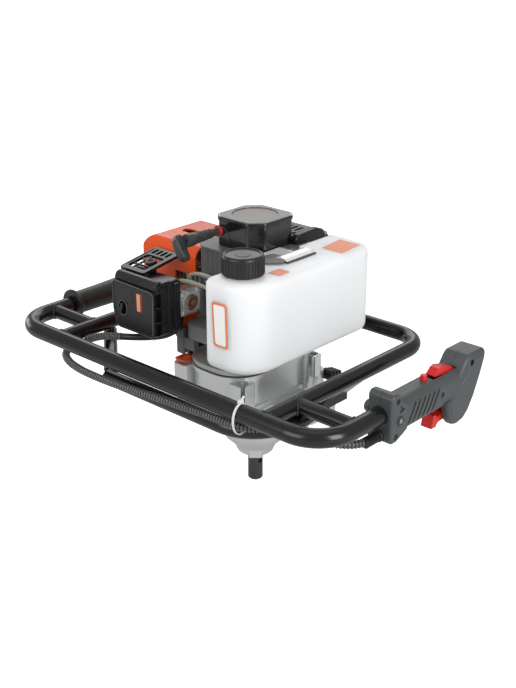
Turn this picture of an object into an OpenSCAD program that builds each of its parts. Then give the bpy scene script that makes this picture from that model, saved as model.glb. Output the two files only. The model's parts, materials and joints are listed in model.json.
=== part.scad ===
// Earth auger power head: two-stroke engine, reduction gearbox and carrying frame.
// Millimetres, +Z up. The origin is on the output shaft axis at the face of the gearbox hub.
// +X runs along the front bar to the throttle handle, +Y points to the back of the machine.

/* [Frame] */
// Outer diameter of the handle bar tube
bar_d = 22; // [18:0.5:26]
// Distance between the two prongs of the handle bar, axis to axis
bar_span = 520; // [490:1:600]
// Front run of the handle bar ahead of the shaft axis
bar_front = 180; // [174:1:200]
// Height of the frame plane above the hub face
bar_z = 168; // [164:1:176]
// Bend radius of the handle bar, to the tube axis
bar_bend = 45; // [35:1:60]
// Outer diameter of the guard tubes
loop_d = 20; // [16:0.5:24]
// Distance between the rails of the guard loop, axis to axis
loop_span = 350; // [330:1:370]
// Back run of the guard loop behind the shaft axis
loop_back = 130; // [126:1:160]
// Bend radius of the guard loop, to the tube axis
loop_bend = 40; // [30:1:60]
// Outer diameter of the cross tubes
cross_d = 19; // [14:0.5:19]
// Wall of every frame tube
tube_wall = 2; // [1.2:0.1:3]

/* [Gearbox] */
// Diameter of the output shaft
shaft_d = 20; // [18:0.5:22]
// Length of the output shaft below the hub face
shaft_len = 42; // [36:1:60]
// Diameter of the cross hole through the output shaft
pin_hole_d = 8; // [5:0.5:10]
// Cross hole below the hub
pin_hole_z = 13; // [10:1:15]
// Height of the lower gearbox half
lower_h = 96; // [96:1:104]
// Height of the upper gearbox half
upper_h = 47; // [47:1:56]
// Distance between the shaft axes
gear_centres = 42; // [42:0.5:44]
// Thickness of the case gasket
gasket_t = 2; // [1:0.5:4]

/* [Engine] */
// Height of the clutch housing
clutch_h = 33; // [33:1:40]
// Height of the crankcase
case_h = 70; // [70:1:80]
// Cylinder bore
bore_d = 44; // [38:0.5:46]
// Piston stroke
stroke = 34; // [28:0.5:34]
// Number of cylinder fins
fin_n = 8; // [5:1:9]
// Height of the fan housing
fan_h = 44; // [42:1:52]
// Outer radius of the flywheel
fly_r = 44; // [38:0.5:45]
// Height of the starter housing
starter_h = 37; // [36:1:42]
// Half width of the starter housing across its flats
starter_a = 37; // [36:0.5:42]
// Thickness of the orange cylinder cover
cover_t = 2.5; // [1.5:0.1:4]

/* [Tank] */
// Width of the fuel tank
tank_w = 72; // [66:1:76]
// Length of the fuel tank
tank_l = 228; // [216:1:240]
// Height of the fuel tank
tank_h = 110; // [100:1:112]
// Wall of the fuel tank
tank_wall = 2.5; // [1.5:0.1:4]
// Outer diameter of the fuel cap
cap_d = 50; // [44:1:52]

/* [Grips] */
// Outer diameter of the rubber grip at its flange end
grip_d = 31; // [28:0.5:36]
// Wall of the throttle handle shells
shell_t = 3; // [2:0.1:4]
// Width of the throttle handle over its grip
hand_w = 34; // [32:1:40]
// Outer radius of the ribs on the cable sleeve
cable_r = 5; // [4:0.1:5.2]
// Number of ribs on the cable sleeve
cable_ribs = 150; // [60:1:180]

/* [Fits] */
// Running clearance of shafts and pins, on the radius
run_gap = 0.05; // [0.02:0.01:0.1]
// Free gap between a moving piece and its surroundings
free_gap = 0.4; // [0.3:0.05:0.8]

/* [Hidden] */
$fn = 48;
bar_x = bar_span / 2;
loop_x = loop_span / 2;
bar_r = bar_d / 2;
loop_r = loop_d / 2;
cross_r = cross_d / 2;
cross_y = -122;
shaft_r = shaft_d / 2;
shaft_in = shaft_r + 2.5;
z_split = lower_h;
z_top = z_split + upper_h;
z_clutch = z_top + gasket_t;
z_case = z_clutch + clutch_h;
z_crank = z_case + case_h / 2;
z_fan = z_case + case_h;
z_start = z_fan + fan_h;
z_cap = z_start + starter_h;
black = [0.11, 0.11, 0.12];
cast = [0.62, 0.63, 0.65];
steel = [0.55, 0.56, 0.58];
orange = [0.93, 0.33, 0.10];
red = [0.90, 0.20, 0.16];
dark = [0.27, 0.28, 0.31];

// Gear train: pinion on the drum, counter gear, counter pinion, output gear
drum_teeth = 11;
counter_teeth = 66;
pinion_teeth = 10;
output_teeth = 50;
m_fast = 2 * gear_centres / (drum_teeth + counter_teeth);
m_slow = 2 * gear_centres / (pinion_teeth + output_teeth);
press_angle = 25;
counter_y = -gear_centres;
bear_in = 7.5;
counter_r = 6;
drum_r = 8;

// Crank train, cylinder along the X axis
crank_r = stroke / 2;
rod_l = 62;
pin_x = -(crank_r + rod_l);
piston_r = bore_d / 2 - 0.1;
web_r = 30;
rod_t = 12;
web_t = 9.5;
web_in = rod_t / 2 + free_gap;
crown_x = pin_x - 18;
skirt_x = pin_x + 13;
head_x = crown_x - 3;
fin_end = head_x - 13;
rope_x = -25;
rope_z = z_start + 19;
rope_r = 2;

// Carburettor and filter places
carb_x = -70;
carb_y0 = -93;
carb_y1 = -57;
port_z = z_crank;
filt_x0 = -117;
filt_x1 = -40;
filt_z0 = 190;
filt_z1 = 258;
filt_y0 = -138;
filt_y1 = -97;

// Fuel tank and cap places
tank_x0 = 58;
tank_y0 = -150;
tank_z0 = 190;
tank_z1 = tank_z0 + tank_h;
cap_x = tank_x0 + 26;
cap_y = tank_y0 + 38;
neck_r = 17;
notch_x = 90;
tank_inner_r = 10;
tank_front_r = 40;
tank_rear_r = 25;

// Throttle handle points in its side plane
trig_y = 56;
trig_z = 132;
lock_y = 50;
lock_z = 177.5;
butt_y = 2;

function unit(v) = v / norm(v);
function inv(a) = tan(a) - a * PI / 180;

// Half angle of a gear tooth at a radius, in degrees
function tooth_half(n, m, r) =
    let (rp = n * m / 2, rb = rp * cos(press_angle), q = max(r, rb))
    (0.36 * PI * m / 2 / rp + inv(press_angle) - inv(acos(min(1, rb / q)))) * 180 / PI;

function tooth(n, m, k) =
    let (
        rp = n * m / 2,
        ro = rp + (n == output_teeth ? 0.5 : 0.8) * m,
        ri = rp - 1.2 * m,
        rm = max(ri + 0.1, rp * cos(press_angle)),
        a = 360 * k / n,
        h0 = tooth_half(n, m, rm),
        h1 = tooth_half(n, m, rp),
        h2 = max(0.3, tooth_half(n, m, ro))
    )
    [
        for (q = [[ri, -h0], [rm, -h0], [rp, -h1], [ro, -h2], [ro, h2], [rp, h1], [rm, h0], [ri, h0]])
            q[0] * [cos(a + q[1]), sin(a + q[1])]
    ];

module gear2d(n, m, turn) {
    rotate(turn) polygon([for (k = [0 : n - 1]) each tooth(n, m, k)]);
}

// Rounded rectangle about its centre
module rrect(w, h, r) {
    square([w - 2 * r, h], center = true);
    square([w, h - 2 * r], center = true);
    for (x = [-1, 1], y = [-1, 1])
        translate([x * (w / 2 - r), y * (h / 2 - r)]) circle(r = r);
}

// Upright block with rounded corners between two heights
module rblock(x0, x1, y0, y1, z0, z1, r) {
    translate([(x0 + x1) / 2, (y0 + y1) / 2, z0])
        linear_extrude(z1 - z0) rrect(x1 - x0, y1 - y0, r);
}

module block(x0, x1, y0, y1, z0, z1) {
    translate([x0, y0, z0]) cube([x1 - x0, y1 - y0, z1 - z0]);
}

module rod_x(x0, x1, y, z, r) {
    translate([x0, y, z]) rotate([0, 90, 0]) cylinder(r = r, h = x1 - x0);
}

module rod_y(y0, y1, x, z, r) {
    translate([x, y0, z]) rotate([-90, 0, 0]) cylinder(r = r, h = y1 - y0);
}

module rod_z(z0, z1, x, y, r) {
    translate([x, y, z0]) cylinder(r = r, h = z1 - z0);
}

// Flat outline in the Y and Z directions, drawn out along X
module along_x(x0, x1) {
    translate([x0, 0, 0]) rotate([90, 0, 90]) linear_extrude(x1 - x0) children();
}

// Flat outline in the X and Z directions, drawn out along Y
module along_y(y0, y1) {
    translate([0, y1, 0]) rotate([90, 0, 0]) linear_extrude(y1 - y0) children();
}

module ring_z(z0, z1, x, y, ri, ro) {
    difference() {
        rod_z(z0, z1, x, y, ro);
        rod_z(z0 - 1, z1 + 1, x, y, ri);
    }
}

// U of tube in the plane of the frame, open towards +Y
module u_tube(half, front, back_l, back_r, bend, r) {
    rod_x(-(half - bend), half - bend, front, 0, r);
    for (s = [-1, 1])
        translate([s * (half - bend), front + bend, 0])
            rotate([0, 0, s > 0 ? -90 : 180])
                rotate_extrude(angle = 90) translate([bend, 0]) circle(r = r);
    rod_y(front + bend, back_l, -half, 0, r);
    rod_y(front + bend, back_r, half, 0, r);
}

// Points of a smooth line through round-number stations
function blend4(a, b, c, d, t) =
    0.5 * (2 * b + (c - a) * t + (2 * a - 5 * b + 4 * c - d) * t * t
        + (3 * b - a - 3 * c + d) * t * t * t);
function line_at(p, u) =
    let (n = len(p) - 1, i = min(n - 1, floor(u * n)), t = u * n - i)
    blend4(p[max(0, i - 1)], p[i], p[i + 1], p[min(n, i + 2)], t);
function line_pts(p, n) = [for (k = [0 : n]) line_at(p, k / n)];
function tangent(q, i) = unit(q[min(len(q) - 1, i + 1)] - q[max(0, i - 1)]);
function side_step(v, t) = unit(v - (v * t) * t);
function sides(q) = [
    for (i = 0, v = side_step([0.1, 0.2, 1], tangent(q, 0)); i < len(q);
        i = i + 1, v = side_step(v, tangent(q, min(i, len(q) - 1)))) v
];
function ring_pts(q, s, i, r, n) =
    let (t = tangent(q, i), w = cross(t, s[i]))
    [for (k = [0 : n - 1]) q[i] + r * (cos(360 * k / n) * s[i] + sin(360 * k / n) * w)];

// Tube along a line: outer rings, then bore rings, closed by two end rings
module hose(q, radii, bore, n, step) {
    s = sides(q);
    last = len(q) - 1;
    inner = [for (i = 0; i < last; i = i + step) i];
    mid = concat(inner, [last]);
    pts = concat(
        [for (i = [0 : last]) each ring_pts(q, s, i, radii[i], n)],
        [for (i = mid) each ring_pts(q, s, i, bore, n)]
    );
    base = (last + 1) * n;
    end = len(mid) - 1;
    faces = concat(
        [for (i = [0 : last - 1], k = [0 : n - 1], h = [0, 1])
            let (a = i * n + k, b = i * n + (k + 1) % n)
            h == 0 ? [a, a + n, b + n] : [a, b + n, b]],
        [for (i = [0 : end - 1], k = [0 : n - 1], h = [0, 1])
            let (a = base + i * n + k, b = base + i * n + (k + 1) % n)
            h == 0 ? [a, b + n, a + n] : [a, b, b + n]],
        [for (k = [0 : n - 1], h = [0, 1])
            let (a = k, b = (k + 1) % n)
            h == 0 ? [a, b, base + b] : [a, base + b, base + a]],
        [for (k = [0 : n - 1], h = [0, 1])
            let (
                a = last * n + k, b = last * n + (k + 1) % n,
                c = base + end * n + k, d = base + end * n + (k + 1) % n
            )
            h == 0 ? [b, a, c] : [b, c, d]]
    );
    polyhedron(pts, faces);
}

// Carrying frame

module handle_bar() {
    color(black) translate([0, 0, bar_z]) difference() {
        u_tube(bar_x, -bar_front, 32, -8, bar_bend, bar_r);
        u_tube(bar_x, -bar_front, 33, -7, bar_bend, bar_r - tube_wall);
    }
}

module guard_loop() {
    color(black) difference() {
        translate([0, 0, bar_z]) mirror([0, 1, 0]) difference() {
            u_tube(loop_x, -loop_back, bar_front, bar_front, loop_bend, loop_r);
            u_tube(loop_x, -loop_back, bar_front + 1, bar_front + 1, loop_bend, loop_r - tube_wall);
        }
        rod_x(-bar_x, bar_x, -bar_front, bar_z, bar_r);
    }
}

// Lower guard: dips from below the rails to a run below and behind the handle bar.
// Its left leg is a straight slant welded to the run, its right end a round bend.
// A short post joins each end to its rail.
dip_r = loop_r - 0.4;
leg_r = dip_r - 0.6;
dip_y = -96;
dip_z = bar_z - loop_r - dip_r - 1;
dip_drop = 10.5;
dip_run = bar_front - 8 + dip_y;
dip_tilt = atan(dip_drop / dip_run);
dip_len = dip_run / cos(dip_tilt);
dip_turn = 41;
dip_bend = 70;
knee_x = dip_len / tan(dip_turn) - loop_x;
module dip_place() {
    translate([0, dip_y, dip_z]) rotate([dip_tilt, 0, 0]) children();
}

module dip_tube(r, e) {
    rod_x(knee_x - 6 - e, loop_x - dip_bend, -dip_len, 0, r);
    translate([loop_x - dip_bend, -dip_len + dip_bend, 0]) rotate([0, 0, -90.8])
        rotate_extrude(angle = 91.6) translate([dip_bend, 0]) circle(r = r - 0.06);
    rod_y(-dip_len + dip_bend, 12 + e, loop_x, 0, r);
}

module dip_leg(r, e) {
    translate([-loop_x, 0, 0]) rotate([0, 0, -dip_turn])
        rod_x(-12 - e, dip_len / sin(dip_turn) - 2, 0, 0, r);
}

module dip_post(s) {
    rod_z(dip_z, bar_z - 2, s * loop_x, dip_y, 6.5);
}

module rail_space(s) {
    rod_y(-bar_front, loop_back - loop_bend, s * loop_x, bar_z, loop_r);
}

module lower_guard() {
    color(black) {
        difference() {
            union() {
                dip_place() dip_tube(dip_r, 0);
                dip_post(1);
            }
            dip_place() dip_tube(dip_r - tube_wall, 1);
            rail_space(1);
        }
        difference() {
            union() {
                dip_place() dip_leg(leg_r, 0);
                dip_post(-1);
            }
            dip_place() dip_leg(leg_r - tube_wall, 1);
            dip_place() rod_x(knee_x - 30, knee_x + 40, -dip_len, 0, dip_r);
            rail_space(-1);
        }
    }
}

module cross_tubes() {
    color(black) for (s = [-1, 1]) difference() {
        rod_x(s > 0 ? loop_x : -bar_x, s > 0 ? bar_x : -loop_x, cross_y, bar_z, cross_r);
        rod_x(-bar_x - 1, bar_x + 1, cross_y, bar_z, cross_r - tube_wall);
        rod_y(-bar_front, 0, s * loop_x, bar_z, loop_r);
        rod_y(-bar_front + bar_bend, 0, s * bar_x, bar_z, bar_r);
    }
}

// Gearbox arms and the brackets bolted on them
arm_x = 116;
arm_y0 = -30;
arm_y1 = 32;
arm_t = 12;
brk_t = 6;
brk_y0 = -8;
brk_y1 = 48;
bolt_r = 4;
bolt_pts = [[100, -19], [100, 21]];
module bracket_outline() {
    polygon([
        [84, z_split], [arm_x, z_split], [arm_x, z_split + 9],
        [loop_x + 4, bar_z - 2], [loop_x, bar_z + 4], [loop_x - loop_r - 2, bar_z + 1],
        [arm_x - 8, z_split + brk_t], [84, z_split + brk_t]
    ]);
}

module frame_brackets() {
    color(black) for (s = [-1, 1]) mirror([s > 0 ? 0 : 1, 0, 0]) difference() {
        union() {
            along_y(brk_y0, brk_y1) bracket_outline();
            block(84, arm_x, arm_y0 + 2, brk_y0 + 1, z_split, z_split + brk_t);
        }
        for (p = bolt_pts) rod_z(z_split - 1, z_split + brk_t + 1, p[0], p[1], bolt_r + 0.3);
        rod_z(z_split + brk_t, z_split + 60, bolt_pts[1][0], bolt_pts[1][1], 9);
        rod_y(-bar_front, loop_back - loop_bend, loop_x, bar_z, loop_r);
        along_y(brk_y0 + 9, brk_y1 - 9)
            polygon([
                [arm_x + 3, z_split + 16], [loop_x - 18, bar_z - 20],
                [loop_x - 26, bar_z - 10], [arm_x - 1, z_split + 20]
            ]);
    }
}

// One hexagon bolt with its nut, head on top
module hex_bolt(x, y, z_head, z_nut, r) {
    translate([x, y, z_head]) cylinder(r = r, h = 5.5, $fn = 6);
    rod_z(z_nut - 9, z_head + 1, x, y, bolt_r);
    translate([x, y, z_nut - 6.5]) cylinder(r = r, h = 6.5, $fn = 6);
}

lug_pts = [[50, -78], [-50, -78], [50, 62], [-50, 62]];
lug_r = 12;
module case_bolts() {
    color(steel) {
        for (s = [-1, 1], p = bolt_pts)
            hex_bolt(s * p[0], p[1], z_split + brk_t, z_split - arm_t, 7.5);
        for (p = lug_pts) hex_bolt(p[0], p[1], z_split + 18, z_split - arm_t, 6);
    }
}

module left_grip() {
    color([0.07, 0.07, 0.075])
        translate([-bar_x, 0, bar_z]) rotate([-90, 0, 0]) rotate_extrude()
            polygon([
                [bar_r, -91], [20, -91], [21, -89], [20, -86], [grip_d / 2, -83],
                [grip_d / 2 + 0.5, -40], [grip_d / 2 + 2, 10], [grip_d / 2 + 2.2, 30],
                [grip_d / 2 - 2, 36], [0, 37], [0, 32], [bar_r, 32]
            ]);
}

// Throttle handle

clamp_w = 34;
head_w = 36;
grip_h = 40.5;
grip_z = 162.25;
collar_pts = [
    [-81, 139], [-78.5, 135.5], [-70, 135.5], [-48, 145], [-48, 176], [-61, 184],
    [-65.5, 192], [-69, 195], [-77, 195], [-81, 191]
];
head_pts = [
    [30, 146], [36, 124], [44, 115], [52, 112.5], [66, 114.5], [76, 122], [87, 138], [99, 164],
    [106.5, 184], [106.5, 192], [103, 196.5], [71, 196.5], [66, 193], [52, 172], [30, 172]
];
// Outline with every edge moved inwards by d
function inset_pt(a, b, c, d) =
    let (
        u = (b - a) / norm(b - a), v = (c - b) / norm(c - b),
        m = [-u[1], u[0]], n = [-v[1], v[0]]
    )
    b + d * (m + n) / (1 + m * n);
function inset(p, d) =
    let (n = len(p)) [for (i = [0 : n - 1]) inset_pt(p[(i + n - 1) % n], p[i], p[(i + 1) % n], d)];

module hand_form(i) {
    along_x(bar_x - clamp_w / 2 + i, bar_x + clamp_w / 2 - i) polygon(inset(collar_pts, i));
    along_y(-66 + i, 66 - i)
        translate([bar_x, grip_z]) rrect(hand_w - 2 * i, grip_h - 2 * i, 15 - i);
    along_x(bar_x - head_w / 2 + i, bar_x + head_w / 2 - i) polygon(inset(head_pts, i));
}

hand_screws = [[75, 186], [18, 163], [-70, 185.5], [-72, 143]];
module hand_shell() {
    difference() {
        union() {
            difference() {
                hand_form(0);
                hand_form(shell_t);
            }
            intersection() {
                hand_form(1);
                union() {
                    for (y = [-56, -24])
                        block(bar_x - 40, bar_x + 40, y - 2, y + 2, 110, bar_z + bar_r);
                    for (p = hand_screws) rod_x(bar_x - 40, bar_x + 40, p[0], p[1], 5);
                    rod_x(bar_x - 40, bar_x + 40, trig_y, trig_z, 5);
                    rod_x(bar_x - 40, bar_x + 40, lock_y, lock_z, 4.5);
                }
            }
        }
        rod_y(-100, -8, bar_x, bar_z, bar_r);
        rod_y(-100, -77.6, bar_x, cable_z0, cable_r + 0.5);
        for (p = hand_screws) rod_x(bar_x - 40, bar_x + 40, p[0], p[1], 2.1);
        block(bar_x - 7, bar_x + 7, 26, 64, 119, 146);
        block(bar_x - 7, bar_x + 7, 12, 58, 171.5, 205);
        rod_z(170, 200, bar_x, butt_y, 4 + free_gap);
    }
}

module hand_pivots() {
    rod_x(bar_x - 10, bar_x + 10, trig_y, trig_z, 3);
    rod_x(bar_x - 10, bar_x + 10, lock_y, lock_z, 2.5);
}

module handle_shell_outer() {
    color(dark) difference() {
        intersection() {
            hand_shell();
            block(bar_x, bar_x + 60, -200, 200, 0, 300);
        }
        for (k = [0 : 6]) translate([bar_x + hand_w / 2, -44 + 8.3 * k, 164.5])
            rotate([-24, 0, 0]) cube([3, 3, 25], center = true);
        for (p = hand_screws) rod_x(bar_x + 12, bar_x + 40, p[0], p[1], 4);
        hand_pivots();
    }
}

module handle_shell_inner() {
    color(dark) {
        difference() {
            intersection() {
                hand_shell();
                block(bar_x - 60, bar_x, -200, 200, 0, 300);
            }
            for (k = [0 : 6]) translate([bar_x - hand_w / 2, -44 + 8.3 * k, 164.5])
                rotate([-24, 0, 0]) cube([3, 3, 25], center = true);
        }
        hand_pivots();
    }
}

module handle_screws() {
    color(steel) for (p = hand_screws) {
        rod_x(bar_x + 12, bar_x + 14.5, p[0], p[1], 3.6);
        rod_x(bar_x - 10, bar_x + 12.5, p[0], p[1], 2.1);
    }
}

module throttle_trigger() {
    color(red) difference() {
        union() {
            along_x(bar_x - 6, bar_x + 6)
                polygon([
                    [13, 117.5], [24, 117], [30, 120.5], [44, 121.5], [trig_y, trig_z - 7],
                    [trig_y + 5, trig_z - 4], [trig_y + 6, trig_z + 1], [trig_y + 3, trig_z + 6],
                    [trig_y - 4, trig_z + 7], [42, 136], [34, 129], [27, 128.5], [21, 133], [17, 133.5]
                ]);
            along_x(bar_x - 7.5, bar_x + 7.5)
                polygon([[13, 117.5], [23, 117], [24, 121], [22, 130], [20, 133], [17, 133.5]]);
        }
        rod_x(bar_x - 20, bar_x + 20, trig_y, trig_z, 3 + run_gap);
    }
}

module lock_lever() {
    color(red) difference() {
        along_x(bar_x - 6, bar_x + 6)
            polygon([
                [15, 184.5], [23, 191.5], [29, 192.5], [lock_y, lock_z + 9], [lock_y + 4, lock_z + 4.5],
                [lock_y + 4, lock_z - 2.5], [lock_y, lock_z - 4], [40, 175], [31, 182], [16, 183.5]
            ]);
        rod_x(bar_x - 20, bar_x + 20, lock_y, lock_z, 2.5 + run_gap);
    }
}

module stop_button() {
    color(red) rod_z(177.5, 189.5, bar_x, butt_y, 4);
}

// Throttle cable sleeve, from the handle clamp along the bar to the carburettor
cable_z0 = 143;
cable_pts = [
    [260, -78.5, 143], [260, -92, 143], [258, -107, 143], [250, -124, 144.5], [236, -138, 147.5],
    [215, -146, 150], [195, -151, 151.5], [178, -158, 152], [168, -166, 152], [158, -175, 151.8],
    [144, -182.5, 151.7], [130, -184.6, 152], [115, -185, 152], [85, -185.5, 151], [50, -186, 149],
    [15, -187, 147.5], [-25, -188, 145],
    [-60, -189, 143], [-95, -189, 142], [-125, -188, 142], [-150, -185, 144], [-167, -178, 147],
    [-174, -166, 151], [-170, -152, 153], [-158, -143, 161], [-140, -137, 168], [-120, -132, 172],
    [-100, -124, 174], [-82, -111, 175], [-68, -96, 177], [-61, -83, 183], [-60, -76, 192],
    [-60, -75, 199], [-60, -75, port_z - 8]
];
cable_line = line_pts(cable_pts, 2 * cable_ribs);
cable_smooth = 2 * cable_ribs * 0.84;
cable_radii = [
    for (i = [0 : 2 * cable_ribs])
        i < 4 || i > cable_smooth ? cable_r - 0.4 : (i % 2 == 0 ? cable_r : cable_r - 0.9)
];
cable_far = [
    for (i = [0 : 3 : 2 * cable_ribs - 30], j = [i + 30 : 3 : 2 * cable_ribs])
        norm(cable_line[i] - cable_line[j])
];
echo(least_cable_gap = min(cable_far) - 2 * cable_r);
module throttle_cable() {
    color([0.09, 0.09, 0.09]) hose(cable_line, cable_radii, cable_r - 2, 8, 4);
}

// Nylon tie round the handle bar and the cable sleeve
tie_x = 142;
tie_t = 1.3;
module tie_loop(g) {
    hull() {
        translate([-bar_front, bar_z]) circle(r = bar_r + g);
        translate([-182.5, 151.7]) circle(r = cable_r + 1.1 + g);
    }
}

module cable_tie() {
    color([0.92, 0.92, 0.92]) {
        along_x(tie_x, tie_x + 4.8) difference() {
            tie_loop(tie_t + 0.15);
            tie_loop(0.15);
        }
        block(tie_x - 0.6, tie_x + 5.4, -bar_front - 3, -bar_front + 3, bar_z + bar_r + 0.2,
            bar_z + bar_r + 5.5);
    }
}

// Gearbox

seal_r = 15;
low_bear_r = 21;
module gearbox_lower() {
    color(cast) difference() {
        union() {
            rotate_extrude() polygon([
                [0, 0], [18, 0], [21.5, 1], [24, 3], [25.5, 6], [27, 10], [30, 15], [35, 20],
                [41, 26], [45, 33], [46.5, 42], [46.5, z_split - 4], [0, z_split - 4]
            ]);
            rod_z(44, z_split - 4, 0, counter_y, 16);
            rotate([0, 0, -47]) rblock(4, 28, -9, 9, 1.5, 44, 3);
            rblock(-56, 56, -88, 70, z_split - 10, z_split, 16);
            rblock(-arm_x, arm_x, arm_y0, arm_y1, z_split - arm_t, z_split, 12);
            for (p = lug_pts) rod_z(z_split - arm_t, z_split, p[0], p[1], lug_r);
        }
        rod_z(-1, 10, 0, 0, seal_r);
        rod_z(9, 15, 0, 0, shaft_in + 0.5);
        rod_z(14, 60, 0, 0, low_bear_r);
        rod_z(55, z_split + 1, 0, 0, 39);
        rod_z(47, z_split + 1, 0, counter_y, 12);
        for (p = lug_pts) rod_z(z_split - 20, z_split + 1, p[0], p[1], bolt_r + 0.3);
        for (s = [-1, 1], p = bolt_pts)
            rod_z(z_split - 20, z_split + 1, s * p[0], p[1], bolt_r + 0.3);
    }
}

module gearbox_upper() {
    color(cast) difference() {
        union() {
            rblock(-54, 54, -87, 69, z_split, z_split + 6, 18);
            rblock(-51, 51, counter_y - 43, 62, z_split, z_top, 41);
            rblock(-54, 54, counter_y - 46, 65, z_top - 5, z_top, 44);
            for (p = lug_pts) {
                rod_z(z_split, z_split + 18, p[0], p[1], lug_r);
                if (p[1] < 0) rblock(p[0] - 12, p[0] + 12, p[1] - 12, p[1] + 12, z_split, z_top - 3, 4);
                block(p[0] > 0 ? p[0] - 22 : p[0] - 4, p[0] > 0 ? p[0] + 4 : p[0] + 22,
                    p[1] > 0 ? p[1] - 18 : p[1] - 4, p[1] > 0 ? p[1] + 4 : p[1] + 18,
                    z_split, z_split + 12);
            }
            rblock(42, 60, 34, 50, z_split, z_top + 4, 6);
        }
        rblock(-46, 46, counter_y - 38.5, 34, z_split + 9, z_top - 11, 38);
        rod_z(z_split - 1, z_split + 10, 0, 0, 16);
        rod_z(z_top - 12, z_top + 1, 0, 0, 17.5);
        rod_z(z_split - 1, z_split + 10, 0, counter_y, 11);
        rod_z(z_top - 20, z_top - 3, 0, counter_y, 12);
        rblock(52, 61, 37, 47, z_top - 16, z_top + 5, 3);
        for (p = lug_pts) {
            rod_z(z_split - 1, z_split + 19, p[0], p[1], bolt_r + 0.3);
            rod_z(z_split + 18, z_top + 1, p[0], p[1], p[1] < 0 ? 8 : 9);
            if (p[1] < 0) translate([p[0], p[1], z_split + 18])
                rotate([0, 0, p[0] > 0 ? -45 : -135]) translate([0, -2.5, 0]) cube([20, 5, z_top]);
        }
    }
}

module ball_bearings() {
    color(steel) {
        ring_z(14, 26, 0, 0, shaft_in + run_gap, low_bear_r);
        ring_z(z_split + 1, z_split + 9, 0, 0, bear_in + run_gap, 16);
        ring_z(47, 54, 0, counter_y, counter_r + run_gap, 12);
        ring_z(z_top - 10, z_top - 3, 0, counter_y, counter_r + run_gap, 12);
        ring_z(z_top - 11, z_top - 1, 0, 0, drum_r + run_gap, 17.5);
        ring_z(z_crank - 32, z_crank - 21, 0, 0, bear_in + run_gap, 17.5);
        ring_z(z_crank + 21, z_crank + 32, 0, 0, bear_in + run_gap, 17.5);
    }
}

module shaft_seal() {
    color([0.08, 0.08, 0.08]) ring_z(1.5, 9, 0, 0, shaft_in + run_gap, seal_r);
}

module output_shaft() {
    color([0.16, 0.16, 0.17]) difference() {
        union() {
            translate([0, 0, -shaft_len]) cylinder(r1 = shaft_r - 1.5, r2 = shaft_r, h = 1.5);
            rod_z(1.5 - shaft_len, 1, 0, 0, shaft_r);
            rod_z(0, 84, 0, 0, shaft_in);
            rod_z(26 + free_gap, 58, 0, 0, shaft_in + 2.5);
            rod_z(83, z_split + 9, 0, 0, bear_in);
        }
        rod_x(-20, 20, 0, -pin_hole_z, pin_hole_d / 2);
    }
}

module output_gear() {
    color(steel) difference() {
        translate([0, 0, 58]) linear_extrude(20) gear2d(output_teeth, m_slow, -90);
        rod_z(50, 90, 0, 0, shaft_in);
    }
}

module counter_shaft() {
    color(steel) {
        rod_z(47.5, z_top - 3.5, 0, counter_y, counter_r);
        rod_z(82, z_split + 12, 0, counter_y, 8.5);
        translate([0, counter_y, 56]) linear_extrude(26) gear2d(pinion_teeth, m_slow, 90 + 180 / pinion_teeth);
        translate([0, counter_y, z_split + 12]) linear_extrude(10)
            gear2d(counter_teeth, m_fast, 90 + 180 / counter_teeth);
    }
}

module clutch_drum() {
    color(steel) {
        translate([0, 0, z_split + 10.5]) linear_extrude(14) gear2d(drum_teeth, m_fast, -90);
        rod_z(z_split + 24, z_clutch + 4, 0, 0, drum_r);
        difference() {
            rod_z(z_clutch + 3, z_clutch + 27, 0, 0, 39.5);
            rod_z(z_clutch + 6, z_clutch + 28, 0, 0, 37);
        }
    }
}

// Engine

module case_gasket() {
    color([0.12, 0.12, 0.12]) difference() {
        rblock(-53, 53, counter_y - 45, 64, z_top, z_clutch, 43);
        rod_z(z_top - 1, z_clutch + 1, 0, 0, 42);
        rblock(42 - 0.3, 61, 34 - 0.3, 51, z_top - 1, z_clutch + 1, 6);
        for (p = lug_pts) rod_z(z_top - 1, z_clutch + 1, p[0], p[1], 9);
    }
}

module clutch_housing() {
    color([0.42, 0.42, 0.44]) difference() {
        union() {
            rblock(-53, 53, counter_y - 45, 64, z_clutch, z_clutch + 6, 43);
            translate([0, 0, z_clutch + 6]) cylinder(r1 = 52, r2 = 47, h = clutch_h - 10);
            rod_z(z_case - 5, z_case, 0, 0, 50);
        }
        rod_z(z_clutch - 1, z_case - 4, 0, 0, 42);
        rod_z(z_case - 5, z_case + 1, 0, 0, 12);
        rblock(42 - 0.3, 61, 34 - 0.3, 51, z_clutch - 1, z_clutch + 7, 6);
        for (p = lug_pts) rod_z(z_clutch - 1, z_clutch + 7, p[0], p[1], 9);
    }
}

module clutch_shoes() {
    color([0.35, 0.32, 0.28]) difference() {
        rod_z(z_clutch + 9, z_clutch + 23, 0, 0, 35);
        rod_z(z_clutch, z_case, 0, 0, bear_in);
        for (s = [-1, 1]) {
            block(s > 0 ? -40 : -24, s > 0 ? 24 : 40, s > 0 ? 11 : -13, s > 0 ? 13 : -11,
                z_clutch + 8, z_clutch + 24);
            block(s > 0 ? -40 : 26, s > 0 ? -26 : 40, -12, 12, z_clutch + 8, z_clutch + 24);
            rod_z(z_clutch + 8, z_clutch + 24, s * 12, s * 24, 6);
        }
    }
}

module crankcase() {
    color(cast) difference() {
        union() {
            rblock(-46, 46, -44, 44, z_case, z_fan, 14);
            rblock(-50, 50, -50, 50, z_fan - 6, z_fan, 16);
            rblock(-50, 50, -50, 50, z_case, z_case + 6, 16);
        }
        rod_z(z_case - 1, z_fan + 1, 0, 0, 11);
        rod_z(z_crank - 32, z_crank + 32, 0, 0, 17.5);
        rod_z(z_crank - 17, z_crank + 17, 0, 0, web_r + 3);
        rod_x(-60, -22, 0, z_crank, bore_d / 2 + 1);
    }
}

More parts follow.
